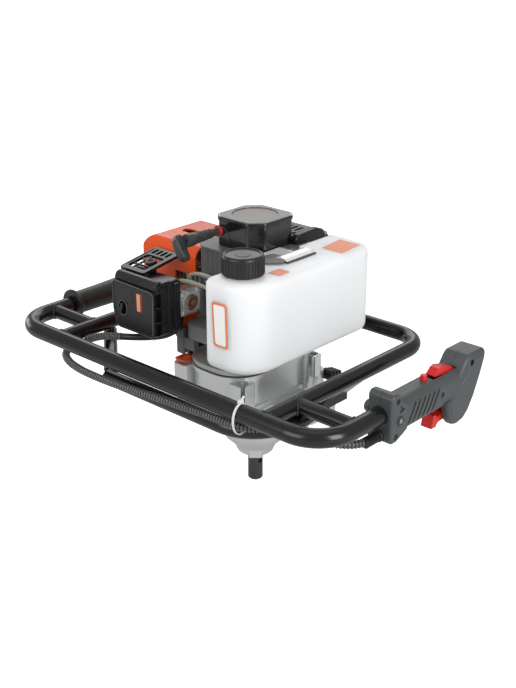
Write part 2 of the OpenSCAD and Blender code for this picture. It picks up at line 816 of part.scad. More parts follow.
module crankshaft() {
    color(steel) {
        rod_z(z_clutch + 8, z_crank - web_in - 1, 0, 0, bear_in);
        rod_z(z_crank + web_in + 1, z_start - 8, 0, 0, bear_in);
        rod_z(z_crank - web_in - web_t, z_crank - web_in, 0, 0, web_r);
        rod_z(z_crank + web_in, z_crank + web_in + web_t, 0, 0, web_r);
    }
}

module connecting_rod() {
    color(steel) difference() {
        union() {
            rod_z(z_crank - rod_t / 2, z_crank + rod_t / 2, -crank_r, 0, 12);
            rod_z(z_crank - rod_t / 2, z_crank + rod_t / 2, pin_x, 0, 9);
            block(pin_x + 5, -crank_r - 5, -5, 5, z_crank - 4, z_crank + 4);
        }
        rod_z(0, 400, -crank_r, 0, 7);
        rod_z(0, 400, pin_x, 0, 5);
    }
}

module piston() {
    color([0.7, 0.7, 0.72]) difference() {
        rod_x(crown_x, skirt_x, 0, z_crank, piston_r);
        rod_x(crown_x + 5, skirt_x + 1, 0, z_crank, piston_r - 4);
        for (d = [4, 8]) difference() {
            rod_x(crown_x + d, crown_x + d + 1.6, 0, z_crank, piston_r + 1);
            rod_x(crown_x + d - 1, crown_x + d + 3, 0, z_crank, piston_r - 1.2);
        }
        rod_z(0, 400, pin_x, 0, 5);
    }
}

module rod_pins() {
    color(steel) {
        rod_z(z_crank - 20, z_crank + 20, pin_x, 0, 5);
        rod_z(z_crank - rod_t / 2, z_crank + rod_t / 2, -crank_r, 0, 7);
    }
}

fin_w = 80;
fin_step = (-54 - fin_end) / fin_n;
module cylinder_fin(x) {
    along_x(x, x + 2.4) translate([0, z_crank]) rrect(fin_w, fin_w, 9);
}

module engine_cylinder() {
    color([0.58, 0.59, 0.6]) difference() {
        union() {
            rod_x(fin_end, -46, 0, z_crank, bore_d / 2 + 5);
            along_x(-52, -46) translate([0, z_crank]) rrect(72, 54, 8);
            for (k = [0 : fin_n - 1]) cylinder_fin(fin_end + k * fin_step);
            block(carb_x - 14, carb_x + 14, -45, -20, port_z - 14, port_z + 14);
            block(carb_x - 14, carb_x + 14, 20, 45, port_z - 14, port_z + 14);
        }
        rod_x(head_x, -40, 0, z_crank, bore_d / 2);
        rod_y(-60, -10, carb_x + 5, port_z, 8);
        rod_y(10, 60, carb_x + 4, port_z, 9);
        rod_x(fin_end - 1, head_x + 1, 0, z_crank, 5);
        rod_x(fin_end - 1, fin_end + 4, 0, z_crank, 11);
    }
}

module spark_plug() {
    color([0.85, 0.85, 0.83]) {
        rod_x(head_x - 9, head_x - 2, 0, z_crank, 5);
        translate([fin_end + 4, 0, z_crank]) rotate([0, -90, 0]) cylinder(r = 10, h = 8, $fn = 6);
        rod_x(fin_end - 18, fin_end - 3, 0, z_crank, 5.5);
    }
}

boot_x = fin_end - 24;
lead_pts = [
    [-64, 0, 264], [-72, 0, 265], [-90, 0, 267], [-112, 0, 267], [-128, 0, 262],
    [boot_x + 5, 0, 250], [boot_x + 5, 0, 238], [boot_x + 5, 0, z_crank + 8]
];
lead_line = line_pts(lead_pts, 20);
module ignition_lead() {
    color([0.08, 0.08, 0.08]) {
        hose(lead_line, [for (i = [0 : 20]) 2.6], 1.2, 8, 1);
        difference() {
            rod_x(boot_x, fin_end - 6, 0, z_crank, 8.5);
            rod_x(fin_end - 18, fin_end, 0, z_crank, 5.5);
        }
    }
}

module flywheel() {
    color([0.66, 0.67, 0.69]) difference() {
        union() {
            rod_z(z_fan + 6, z_fan + 14, 0, 0, fly_r);
            rod_z(z_fan + 6, z_start - 8, 0, 0, 16);
            for (a = [0 : 30 : 330]) rotate([0, 0, a])
                block(20, fly_r - 1, -1.5, 1.5, z_fan + 13, z_start - 12);
        }
        rod_z(z_fan, z_start, 0, 0, bear_in);
    }
}

fan_w = 54;
module fan_housing() {
    color([0.2, 0.2, 0.21]) difference() {
        union() {
            rblock(-fan_w, fan_w, -fan_w, fan_w, z_fan, z_start, 22);
            for (k = [0 : 3]) rblock(-fan_w - 1.5, fan_w + 1.5, -fan_w - 1.5, fan_w + 1.5,
                z_fan + 6 + 9 * k, z_fan + 10 + 9 * k, 23);
        }
        rod_z(z_fan + 4, z_start - 4, 0, 0, fly_r + 6);
        rod_z(z_fan - 1, z_start + 1, 0, 0, 32);
        block(-fan_w - 3, -30, -24, 24, z_fan + 4, z_start - 4);
    }
}

module ignition_coil() {
    color([0.1, 0.1, 0.11]) {
        block(cov_x1 + 0.6, -fly_r - 3, -13, 13, z_fan + 8, z_fan + 26);
        for (y = [-11, 4]) block(cov_x1 + 2, -fly_r - 0.6, y, y + 7, z_fan + 4, z_fan + 12);
    }
}

near_cut = 16;
side_cut = 10;
module starter_plan(a) {
    polygon([
        [a, a - side_cut], [a - side_cut, a], [near_cut - a, a], [-a, a - near_cut],
        [-a, side_cut - a], [side_cut - a, -a], [a - near_cut, -a], [a, near_cut - a]
    ]);
}

drum_bore = 33;
module starter_housing() {
    color([0.09, 0.09, 0.095]) difference() {
        union() {
            translate([0, 0, z_start]) linear_extrude(starter_h - 4) starter_plan(starter_a);
            translate([0, 0, z_cap - 4]) linear_extrude(3) starter_plan(starter_a + 1);
            translate([0, 0, z_cap - 1]) linear_extrude(1) starter_plan(starter_a - 1.5);
        }
        difference() {
            rod_z(z_start - 1, z_cap - 5, 0, 0, drum_bore);
            rod_z(z_start + 7, z_cap, 0, 0, 6);
        }
        rod_z(z_cap - 1.2, z_cap + 1, 0, 0, 29);
        rod_y(-60, -18, rope_x, rope_z, 5);
        rod_y(-30, 27, rope_x, rope_z, 3);
    }
}

module starter_pulley() {
    color([0.75, 0.74, 0.7]) difference() {
        union() {
            rod_z(rope_z - 6, rope_z - 3, 0, 0, 30);
            rod_z(rope_z - 4, rope_z + 4, 0, 0, 22);
            rod_z(rope_z + 3, rope_z + 5.5, 0, 0, 30);
        }
        rod_z(z_start, z_cap, 0, 0, 6 + run_gap);
    }
}

// Flat coil spring above the pulley, drawn as a spiral band
spring_turns = 4;
function spiral(t, o) =
    let (r = 10 + o + 20 * t) r * [cos(360 * spring_turns * t), sin(360 * spring_turns * t)];
module rewind_spring() {
    color(steel) translate([0, 0, rope_z + 6.2]) linear_extrude(z_cap - 5 - rope_z - 6.2)
        polygon(concat(
            [for (i = [0 : 80]) spiral(i / 80, 0)],
            [for (i = [80 : -1 : 0]) spiral(i / 80, 1.2)]
        ));
}

module rope_bush() {
    color(red) difference() {
        union() {
            rod_y(-starter_a - 5, -28, rope_x, rope_z, 5);
            rod_y(-starter_a - 5, -starter_a - 1, rope_x, rope_z, 7);
        }
        rod_y(-60, -20, rope_x, rope_z, rope_r + free_gap);
    }
}

module starter_rope() {
    color([0.85, 0.84, 0.8]) rod_y(-88, 22, rope_x, rope_z, rope_r);
}

module starter_handle() {
    color([0.13, 0.13, 0.14]) difference() {
        union() {
            translate([rope_x, -94, rope_z]) rotate([-90, 0, 0])
                cylinder(r1 = 8, r2 = 5, h = 94 - starter_a - 6);
            for (k = [0 : 4]) rod_y(-75 + 6 * k, -72 + 6 * k, rope_x, rope_z, 6.8 - 0.3 * k);
            translate([rope_x, -97, rope_z]) rotate([0, -34, 0]) {
                translate([0, -6, -14]) linear_extrude(28) rrect(17, 12, 5);
                rotate([-90, 0, 0]) cylinder(r = 8.6, h = 8);
            }
        }
        rod_y(-88, 0, rope_x, rope_z, rope_r);
    }
}

// Intake side

module insulator() {
    color([0.2, 0.14, 0.1]) difference() {
        block(carb_x - 14, carb_x + 14, carb_y1, -45, port_z - 13, port_z + 13);
        rod_y(carb_y1 - 1, -44, carb_x + 5, port_z, 8);
    }
}

carb_z0 = port_z - 8;
carb_z1 = port_z + 31;
module carburettor() {
    color([0.66, 0.67, 0.68]) difference() {
        union() {
            block(carb_x - 18, carb_x + 24, carb_y0 + 4, carb_y1, carb_z0, carb_z1 - 5);
            block(carb_x - 20, carb_x + 20, carb_y0, carb_y0 + 6, carb_z0, carb_z1 - 1);
            rod_z(carb_z1 - 6, carb_z1 - 1, carb_x, -74, 11);
            rod_y(carb_y1 - 30, carb_y1 - 2, carb_x + 5, port_z, 7.9);
        }
        rod_y(carb_y0 - 1, carb_y1 + 1, carb_x + 5, port_z, 7);
        rod_z(carb_z1 - 20, carb_z1, carb_x, -74, 3 + run_gap);
        rod_z(carb_z0 - 1, carb_z0 + 5, -60, -75, cable_r - 2);
    }
}

module carb_cover() {
    color([0.8, 0.79, 0.76]) {
        along_x(carb_x + 24, carb_x + 28) translate([-74, port_z + 10]) rrect(32, 32, 5);
        rod_x(carb_x + 27, carb_x + 32, -74, port_z + 10, 10);
        rod_x(carb_x + 31, carb_x + 35, -74, port_z + 10, 5);
        for (y = [-1, 1], z = [-1, 1])
            rod_x(carb_x + 27, carb_x + 30, -74 + 12 * y, port_z + 10 + 12 * z, 2.6);
    }
}

module throttle_lever() {
    color([0.78, 0.66, 0.35]) {
        rod_z(carb_z1 - 19, carb_z1 + 4, carb_x, -74, 3);
        difference() {
            union() {
                rod_z(carb_z1 - 0.5, carb_z1 + 2.5, carb_x, -74, 7);
                block(carb_x, carb_x + 19, -77, -71, carb_z1 - 0.5, carb_z1 + 2.5);
            }
            rod_z(carb_z1 - 2, carb_z1 + 4, carb_x + 15, -74, 1.6);
        }
    }
}

module filter_base() {
    color([0.1, 0.1, 0.105]) difference() {
        union() {
            along_y(filt_y1, carb_y0) translate([(filt_x0 + filt_x1) / 2, (filt_z0 + filt_z1) / 2])
                rrect(filt_x1 - filt_x0, filt_z1 - filt_z0, 8);
            translate([0, filt_y0 + 20.5, filt_z1 + 0.7]) rotate([9, 0, 0]) difference() {
                block(-124, -79, 0, 64, 0, 4);
                for (k = [0 : 5]) block(-118, -85, 18 + 7.5 * k, 22 + 7.5 * k, -1, 6);
            }
            block(-116, -88, filt_y1, carb_y0, filt_z1 - 6, filt_z1 + 6);
        }
        rod_y(filt_y1 - 1, carb_y0 + 1, carb_x + 5, port_z, 8);
    }
}

module filter_element() {
    color([0.25, 0.24, 0.22]) along_y(filt_y1 - 22, filt_y1)
        translate([(filt_x0 + filt_x1) / 2, (filt_z0 + filt_z1) / 2]) rrect(62, 52, 6);
}

choke_x = -98;
choke_z = 219;
module filter_cover() {
    color([0.09, 0.09, 0.095]) difference() {
        union() {
            difference() {
                along_y(filt_y0, filt_y1) translate([(filt_x0 + filt_x1) / 2, (filt_z0 + filt_z1) / 2])
                    rrect(filt_x1 - filt_x0, filt_z1 - filt_z0, 9);
                along_y(filt_y0 + 3, filt_y1 + 1)
                    translate([(filt_x0 + filt_x1) / 2, (filt_z0 + filt_z1) / 2])
                        rrect(filt_x1 - filt_x0 - 6, filt_z1 - filt_z0 - 6, 6);
            }
            rod_x(filt_x0 + 3, filt_x1 - 3, filt_y0 + 12, filt_z1 - 3, 8);
            rod_y(filt_y0 + 2, filt_y0 + 12, choke_x, choke_z, 11);
            rod_z(filt_z0 - 6, filt_z0 + 1, -58, filt_y0 + 14, 3);
        }
        for (k = [0 : 2]) block(filt_x1 - 4, filt_x1 + 1, filt_y0 + 6, filt_y0 + 13,
            filt_z0 + 9 + 18 * k, filt_z0 + 23 + 18 * k);
        rod_y(filt_y0 - 1, filt_y0 + 9, choke_x, choke_z, 8.5);
        rod_y(filt_y0 + 8, filt_y0 + 13, choke_x, choke_z, 2.5 + run_gap);
        block(-72, -60, filt_y0 - 1, filt_y0 + 0.8, 218, 246);
    }
}

module choke_lever() {
    color([0.13, 0.13, 0.14]) {
        rod_y(filt_y0 + 6, filt_y0 + 13, choke_x, choke_z, 2.5);
        rod_y(filt_y0 + 4, filt_y0 + 8.4, choke_x, choke_z, 7.5);
        translate([choke_x, filt_y0 + 3, choke_z]) rotate([0, 20, 0])
            block(-2, 2, -6, 2, -7, 7);
    }
}

// Exhaust side and covers

muf_y0 = 45;
module muffler() {
    color([0.4, 0.38, 0.36]) difference() {
        union() {
            rblock(-100, -18, muf_y0 + 6, 104, z_crank - 24, z_crank + 32, 8);
            block(carb_x - 12, carb_x + 14, muf_y0, muf_y0 + 7, port_z - 12, port_z + 12);
            rod_x(-20, -8, 80, z_crank + 16, 7);
        }
        rblock(-98, -20, muf_y0 + 8, 102, z_crank - 22, z_crank + 30, 6);
        rod_y(muf_y0 - 1, muf_y0 + 9, carb_x + 4, port_z, 9);
        rod_x(-22, -7, 80, z_crank + 16, 5);
    }
}

guard_z0 = z_crank - 28;
guard_z1 = 286;
module muffler_guard() {
    color([0.1, 0.1, 0.105]) difference() {
        rblock(-106, 32, 58, 114, guard_z0, guard_z1, 16);
        rblock(-104, 30, 40, 112, guard_z0 - 1, guard_z1 - 2, 14);
        block(-88, 14, 50, 60, guard_z0 - 1, guard_z1 - 2);
        for (k = [0 : 12], j = [0, 1])
            block(-96 + 9 * k + 3 * j, -91 + 9 * k + 3 * j, 64 + 22 * j, 82 + 22 * j, guard_z1 - 3, guard_z1 + 1);
        for (k = [0 : 9])
            block(-84 + 10 * k, -79 + 10 * k, 110, 116, guard_z0 + 16, guard_z1 - 18);
    }
    color([0.1, 0.1, 0.105]) for (x = [-60, -30])
        block(x, x + 8, 76, 92, z_crank + 32, guard_z1 - 1);
}

cov_x0 = -154;
cov_x1 = -57;
cov_y0 = -50;
cov_y1 = 56;
cov_z0 = 152;
cov_z1 = 283;
module cover_form(i) {
    intersection() {
        along_x(cov_x0 + i, cov_x1 + 20) translate([(cov_y0 + cov_y1) / 2, (cov_z0 + cov_z1) / 2])
            rrect(cov_y1 - cov_y0 - 2 * i, cov_z1 - cov_z0 - 2 * i, 16 - i);
        along_y(cov_y0 - 5, cov_y1 + 5) translate([(cov_x0 + cov_x1) / 2 + 20, (cov_z0 + cov_z1) / 2])
            rrect(cov_x1 - cov_x0 + 40 - 2 * i, cov_z1 - cov_z0 - 2 * i, 18 - i);
    }
}

module cylinder_cover() {
    color(orange) difference() {
        cover_form(0);
        cover_form(cover_t);
        block(cov_x1, cov_x1 + 80, -90, 90, 100, 300);
        block(cov_x0 - 1, cov_x1 + 1, cov_y0 - 1, cov_y1 + 1, cov_z0 - 1, cov_z0 + 16);
        block(carb_x - 24, cov_x1 + 1, cov_y0 - 1, cov_y0 + 20, port_z - 20, port_z + 34);
        block(cov_x0 + 30, cov_x1 + 1, cov_y1 - 20, cov_y1 + 1, port_z - 30, port_z + 50);
        translate([-116, 0, cov_z1 - 10]) linear_extrude(20) union() {
            translate([-5, 0]) circle(r = 7);
            translate([5, 0]) circle(r = 7);
            square([10, 14], center = true);
        }
    }
    color(orange) {
        block(-108, -100, cov_y0 + 1, -fin_w / 2, z_crank + 10, z_crank + 20);
        block(-108, -100, 18, 30, z_crank + fin_w / 2, cov_z1 - 1);
    }
}

// Fuel tank

// Outline seen from above, with wide curves on the side away from the engine
module tank_plan(i) {
    x0 = tank_x0 + i;
    x1 = tank_x0 + tank_w - i;
    y0 = tank_y0 + i;
    y1 = tank_y0 + tank_l - i;
    inner = tank_inner_r - i;
    front = tank_front_r - i;
    rear = tank_rear_r - i;
    polygon([
        [x0 + inner, y0], [x1 - front, y0], [x1, y0 + front], [x1, y1 - rear], [x1 - rear, y1],
        [x0 + inner, y1], [x0, y1 - inner], [x0, y0 + inner]
    ]);
    translate([x0 + inner, y0 + inner]) circle(r = inner);
    translate([x1 - front, y0 + front]) circle(r = front);
    translate([x1 - rear, y1 - rear]) circle(r = rear);
    translate([x0 + inner, y1 - inner]) circle(r = inner);
}

module tank_form(i) {
    difference() {
        intersection() {
            translate([0, 0, tank_z0 - 20]) linear_extrude(tank_h + 40) tank_plan(i);
            along_x(tank_x0 - 5, tank_x0 + tank_w + 5)
                translate([tank_y0 + tank_l / 2, (tank_z0 + tank_z1) / 2])
                    rrect(tank_l - 2 * i, tank_h - 2 * i, 17 - i);
            along_y(tank_y0 - 5, tank_y0 + tank_l + 5)
                translate([tank_x0 + tank_w / 2, (tank_z0 + tank_z1) / 2])
                    rrect(tank_w - 2 * i, tank_h - 2 * i, 13 - i);
        }
        rblock(tank_x0 - 20, notch_x + i, -54 - i, 8 + i, z_start - 6 - i, tank_z1 + 20, 5 + i);
    }
}

module fuel_tank() {
    color([0.93, 0.94, 0.95]) difference() {
        union() {
            difference() {
                tank_form(0);
                tank_form(tank_wall);
            }
            ring_z(tank_z1 - 2, tank_z1 + 14, cap_x, cap_y, neck_r - 3, neck_r);
            block(46, tank_x0 + 2, -30, 0, tank_z0 + 20, tank_z0 + 44);
        }
        rod_z(tank_z1 - 4, tank_z1 + 15, cap_x, cap_y, neck_r - 3);
        rod_x(tank_x0 - 5, tank_x0 + 6, line_y, line_z, 2.6);
    }
}

module fuel_cap() {
    color([0.12, 0.12, 0.125]) difference() {
        union() {
            rod_z(tank_z1 + 0.4, tank_z1 + 22, cap_x, cap_y, cap_d / 2 - 1);
            translate([cap_x, cap_y, tank_z1 + 22]) cylinder(r1 = cap_d / 2 - 1, r2 = cap_d / 2 - 3, h = 2);
            for (a = [0 : 10 : 350]) translate([cap_x, cap_y, tank_z1 + 1]) rotate([0, 0, a])
                translate([cap_d / 2 - 2, -1, 0]) cube([2, 2, 20]);
        }
        rod_z(tank_z1 - 1, tank_z1 + 17, cap_x, cap_y, neck_r + free_gap);
    }
}

// Fuel hose between the carburettor and the tank
line_y = -80;
line_z = 262;
fuel_pts = [
    [-52, -66, carb_z1 - 5], [-52, -66, 247], [-48, -67, 255], [-36, -69, 260], [-15, -74, 264],
    [10, -79, 265], [38, -80, 263], [50, line_y, line_z], [tank_x0 + 5, line_y, line_z]
];
module fuel_line() {
    color([0.75, 0.72, 0.6]) hose(line_pts(fuel_pts, 24), [for (i = [0 : 24]) 2.6], 1.5, 8, 1);
}

module tank_bracket() {
    color([0.86, 0.87, 0.89]) {
        difference() {
            block(starter_a + 2, notch_x - 4, -46, 2, z_start, z_start + 2);
            for (y = [-36, -8]) rod_z(z_start - 1, z_start + 3, starter_a + 8, y, 3);
        }
        block(notch_x - 6, notch_x - 4, -46, 2, z_start, z_start + 12);
    }
}

module tank_strip() {
    color([0.07, 0.07, 0.07]) block(notch_x - 4, notch_x, -47, 3, z_start - 5.5, z_start + 11);
}

handle_bar();
guard_loop();
lower_guard();
cross_tubes();
frame_brackets();
case_bolts();
left_grip();
handle_shell_outer();
handle_shell_inner();
handle_screws();
throttle_trigger();
lock_lever();
stop_button();
throttle_cable();
cable_tie();
gearbox_lower();
gearbox_upper();
ball_bearings();
shaft_seal();
output_shaft();
output_gear();
counter_shaft();
clutch_drum();
case_gasket();
clutch_housing();
clutch_shoes();
crankcase();
crankshaft();
connecting_rod();
piston();
rod_pins();
engine_cylinder();
spark_plug();
ignition_lead();
flywheel();
fan_housing();
ignition_coil();
starter_housing();
starter_pulley();
rewind_spring();
rope_bush();
starter_rope();
starter_handle();
insulator();
carburettor();
carb_cover();
throttle_lever();
filter_base();
filter_element();
filter_cover();
choke_lever();
muffler();
muffler_guard();
cylinder_cover();
fuel_tank();
fuel_cap();
fuel_line();
tank_bracket();
tank_strip();
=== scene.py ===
import json
import math

import bpy
from mathutils import Matrix, Vector


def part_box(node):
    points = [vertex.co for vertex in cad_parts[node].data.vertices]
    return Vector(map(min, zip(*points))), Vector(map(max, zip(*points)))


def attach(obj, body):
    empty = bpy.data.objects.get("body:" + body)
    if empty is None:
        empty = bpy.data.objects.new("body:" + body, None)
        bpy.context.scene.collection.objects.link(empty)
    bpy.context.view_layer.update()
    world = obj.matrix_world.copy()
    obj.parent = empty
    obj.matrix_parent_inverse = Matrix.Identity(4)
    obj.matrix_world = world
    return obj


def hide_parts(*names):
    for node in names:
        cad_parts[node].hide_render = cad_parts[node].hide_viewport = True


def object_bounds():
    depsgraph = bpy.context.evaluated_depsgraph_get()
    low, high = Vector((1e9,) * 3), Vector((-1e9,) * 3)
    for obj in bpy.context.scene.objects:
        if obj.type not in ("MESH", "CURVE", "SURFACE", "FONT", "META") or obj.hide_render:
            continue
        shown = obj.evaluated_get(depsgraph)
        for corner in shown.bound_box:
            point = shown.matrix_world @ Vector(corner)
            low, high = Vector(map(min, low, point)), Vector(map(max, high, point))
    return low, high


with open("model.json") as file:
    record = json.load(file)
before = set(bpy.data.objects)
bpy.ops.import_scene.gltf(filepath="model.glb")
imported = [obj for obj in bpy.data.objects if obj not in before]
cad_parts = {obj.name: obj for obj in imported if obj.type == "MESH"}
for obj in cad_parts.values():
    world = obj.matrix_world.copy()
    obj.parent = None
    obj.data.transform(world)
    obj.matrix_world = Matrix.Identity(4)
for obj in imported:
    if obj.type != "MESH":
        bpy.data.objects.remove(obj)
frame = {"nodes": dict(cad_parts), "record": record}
cad_box = [list(c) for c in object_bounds()]
nodes = frame["nodes"]
record = frame["record"]
scene = bpy.context.scene
scene.view_settings.view_transform = "Standard"
MM = 0.001

# Camera at the photograph's place: 42 degrees round from the front, 23 degrees up
camera = bpy.data.objects.new("camera", bpy.data.cameras.new("camera"))
scene.collection.objects.link(camera)
camera.location = (0.9157, -0.9976, 0.7261)
camera.rotation_euler = (math.radians(67.1), 0, math.radians(42.4))
camera.data.sensor_fit = "VERTICAL"
camera.data.sensor_height = 36
camera.data.sensor_width = 36
camera.data.lens = 59.23
scene.camera = camera


# Tools for modelling
def clear():
    if bpy.context.object and bpy.context.object.mode != "OBJECT":
        bpy.ops.object.mode_set(mode="OBJECT")
    bpy.ops.object.select_all(action="DESELECT")


def only(piece):
    clear()
    piece.select_set(True)
    bpy.context.view_layer.objects.active = piece
    return piece


def named(name):
    piece = bpy.context.object
    piece.name = piece.data.name = name
    return piece


def settle(piece):
    only(piece)
    bpy.ops.object.transform_apply(location=True, rotation=True, scale=True)
    return piece


def block(name, lo, hi):
    """A box from corner to corner, in mm."""
    clear()
    lo, hi = Vector(lo) * MM, Vector(hi) * MM
    bpy.ops.mesh.primitive_cube_add(size=1, location=(lo + hi) / 2, scale=hi - lo)
    return settle(named(name))


def drum(name, middle, radius, length, axis="Z", sides=48):
    """A round bar about its middle, in mm."""
    clear()
    turn = {"Z": (0, 0, 0), "X": (0, math.pi / 2, 0), "Y": (math.pi / 2, 0, 0)}[axis]
    bpy.ops.mesh.primitive_cylinder_add(
        vertices=sides, radius=radius * MM, depth=length * MM, location=Vector(middle) * MM, rotation=turn
    )
    return settle(named(name))


def plate(name, axis, start, thick, points):
    """A flat outline across an axis, pushed out along that axis from start, in mm."""
    k = "XYZ".index(axis)
    depth = Vector((0, 0, 0))
    depth[k] = thick * MM
    clear()
    bpy.ops.mesh.primitive_circle_add(vertices=len(points), fill_type="NGON")
    piece = named(name)
    for v, p in zip(piece.data.vertices, points):
        v.co = Vector((*p[:k], start, *p[k:])) * MM
    bpy.ops.object.mode_set(mode="EDIT")
    bpy.ops.mesh.select_all(action="SELECT")
    bpy.ops.mesh.extrude_region_move(TRANSFORM_OT_translate={"value": depth})
    bpy.ops.mesh.select_all(action="SELECT")
    bpy.ops.mesh.normals_make_consistent(inside=False)
    bpy.ops.object.mode_set(mode="OBJECT")
    return piece


def turned(name, profile, centre, axis="Z", steps=64):
    """A closed outline of (radius, height), in mm, spun once round an axis through centre."""
    clear()
    bpy.ops.mesh.primitive_circle_add(vertices=len(profile), fill_type="NOTHING")
    piece = named(name)
    for v, (r, h) in zip(piece.data.vertices, profile):
        v.co = Vector((r, 0, h)) * MM
    bpy.ops.object.mode_set(mode="EDIT")
    bpy.ops.mesh.select_all(action="SELECT")
    bpy.ops.mesh.spin(steps=steps, angle=2 * math.pi, center=(0, 0, 0), axis=(0, 0, 1))
    bpy.ops.mesh.select_all(action="SELECT")
    bpy.ops.mesh.remove_doubles(threshold=1e-6)
    bpy.ops.mesh.dissolve_degenerate(threshold=1e-6)
    bpy.ops.mesh.select_all(action="SELECT")
    bpy.ops.mesh.normals_make_consistent(inside=False)
    bpy.ops.object.mode_set(mode="OBJECT")
    turn = {"Z": (0, 0, 0), "X": (0, math.pi / 2, 0), "Y": (-math.pi / 2, 0, 0)}[axis]
    piece.rotation_euler = turn
    piece.location = Vector(centre) * MM
    return settle(piece)


def pick(piece, test, kind="FACE"):
    """Edit mode with only the faces or edges chosen whose middle, and normal or direction, pass the test."""
    only(piece)
    bpy.ops.object.mode_set(mode="EDIT")
    bpy.ops.mesh.select_mode(type=kind)
    bpy.ops.mesh.select_all(action="DESELECT")
    bpy.ops.object.mode_set(mode="OBJECT")
    mesh = piece.data
    if kind == "FACE":
        for f in mesh.polygons:
            f.select = bool(test(f.center / MM, f.normal))
    else:
        for e in mesh.edges:
            a, b = (mesh.vertices[i].co / MM for i in e.vertices)
            e.select = bool(test((a + b) / 2, (b - a).normalized()))
    bpy.ops.object.mode_set(mode="EDIT")


def done():
    bpy.ops.object.mode_set(mode="OBJECT")


def round_edges(piece, width, segments, test):
    """Rounds the edges whose middle and direction pass the test."""
    pick(piece, test, "EDGE")
    bpy.ops.mesh.bevel(offset=width * MM, segments=segments, affect="EDGES")
    done()
    return piece


def soften(piece, width, segments=3, angle=30):
    """Rounds every edge sharper than the angle."""
    only(piece)
    m = piece.modifiers.new("round", "BEVEL")
    m.width = width * MM
    m.segments = segments
    m.limit_method = "ANGLE"
    m.angle_limit = math.radians(angle)
    bpy.ops.object.modifier_apply(modifier=m.name)
    return piece


def carve(piece, *cutters, mode="DIFFERENCE"):
    for c in cutters:
        only(piece)
        m = piece.modifiers.new("cut", "BOOLEAN")
        m.operation = mode
        m.solver = "EXACT"
        m.object = c
        bpy.ops.object.modifier_apply(modifier=m.name)
        bpy.data.objects.remove(c)
    return piece


def joined(name, pieces):
    clear()
    for p in pieces:
        p.select_set(True)
    bpy.context.view_layer.objects.active = pieces[0]
    bpy.ops.object.join()
    return named(name)


def copy_of(node, name):
    """A copy of a CAD node's mesh, with its corners merged and its flat faces made whole."""
    clear()
    piece = bpy.data.objects.new(name, nodes[node].data.copy())
    piece.data.name = name
    scene.collection.objects.link(piece)
    only(piece)
    piece.data.materials.clear()
    bpy.ops.object.mode_set(mode="EDIT")
    bpy.ops.mesh.select_mode(type="VERT")
    bpy.ops.mesh.select_all(action="SELECT")
    bpy.ops.mesh.customdata_custom_splitnormals_clear()
    bpy.ops.mesh.remove_doubles(threshold=2e-6)
    bpy.ops.mesh.dissolve_limited(angle_limit=math.radians(0.6))
    bpy.ops.object.mode_set(mode="OBJECT")
    return piece


def place(piece, body, slot, material, *stands_for, angle=35):
    """Gives a finished piece its body, its finish and the nodes that it stands for; the slot is not used."""
    only(piece)
    bpy.ops.object.shade_smooth_by_angle(angle=math.radians(angle))
    even = piece.modifiers.new("even", "WEIGHTED_NORMAL")
    even.keep_sharp = True
    bpy.ops.object.modifier_apply(modifier=even.name)
    piece.data.materials.clear()
    piece.data.materials.append(material)
    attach(piece, body)
    if stands_for:
        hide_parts(*stands_for)


def body_of(node):
    return next(b for b, members in record["behaviour"]["bodies"].items() if node in members)


def rounded(points, radius, steps=5):
    """The outline with every corner turned into a curve, smaller where its edges are short."""
    out, n = [], len(points)
    for i in range(n):
        a, b, c = (Vector(points[(i + k) % n]) for k in (-1, 0, 1))
        u, v = a - b, c - b
        reach = min(radius / math.tan(max(0.02, u.angle(v) / 2)), 0.46 * u.length, 0.46 * v.length)
        p, q = b + u.normalized() * reach, b + v.normalized() * reach
        for k in range(steps + 1):
            f = k / steps
            out.append(tuple(p * (1 - f) ** 2 + b * 2 * f * (1 - f) + q * f ** 2))
    return out


def evenly(points, step):
    """A smooth line through the points, cut into equal steps, in mm."""
    p = [Vector(q) for q in points]
    p = [2 * p[0] - p[1]] + p + [2 * p[-1] - p[-2]]
    fine = []
    for i in range(1, len(p) - 2):
        a, b, c, d = p[i - 1:i + 3]
        for k in range(40):
            t = k / 40
            fine.append(0.5 * (2 * b + (c - a) * t + (2 * a - 5 * b + 4 * c - d) * t * t
                               + (3 * b - a - 3 * c + d) * t ** 3))
    fine.append(p[-2])
    out, left = [fine[0]], step
    for a, b in zip(fine, fine[1:]):
        run = (b - a).length
        while run >= left:
            a = a + (b - a).normalized() * left
            out.append(a)
            run -= left
            left = step
        left -= run
    return out


def tube(name, route, radii, sides=12, closed=False):
    """A round hose along a route, with its own radius at every point, in mm."""
    clear()
    line = bpy.data.curves.new(name, "CURVE")
    line.dimensions = "3D"
    line.bevel_depth = 1
    line.bevel_resolution = sides // 4 - 1
    line.use_fill_caps = not closed
    spline = line.splines.new("POLY")
    spline.points.add(len(route) - 1)
    spline.use_cyclic_u = closed
    for p, q, r in zip(spline.points, route, radii):
        p.co = (*(Vector(q) * MM), 1)
        p.radius = r * MM
    piece = bpy.data.objects.new(name, line)
    scene.collection.objects.link(piece)
    only(piece)
    bpy.ops.object.convert(target="MESH")
    piece = named(name)
    bpy.ops.object.mode_set(mode="EDIT")
    bpy.ops.mesh.select_all(action="SELECT")
    bpy.ops.mesh.remove_doubles(threshold=1e-6)
    bpy.ops.mesh.normals_make_consistent(inside=False)
    bpy.ops.object.mode_set(mode="OBJECT")
    return piece


def twin(piece):
    """A copy of a piece with a mesh of its own."""
    other = piece.copy()
    other.data = piece.data.copy()
    scene.collection.objects.link(other)
    return other


def moved(piece, matrix):
    piece.matrix_world = matrix
    return settle(piece)


def square(x0, y0, x1, y1):
    """The corners of a rectangle."""
    return [(x0, y0), (x1, y0), (x1, y1), (x0, y1)]


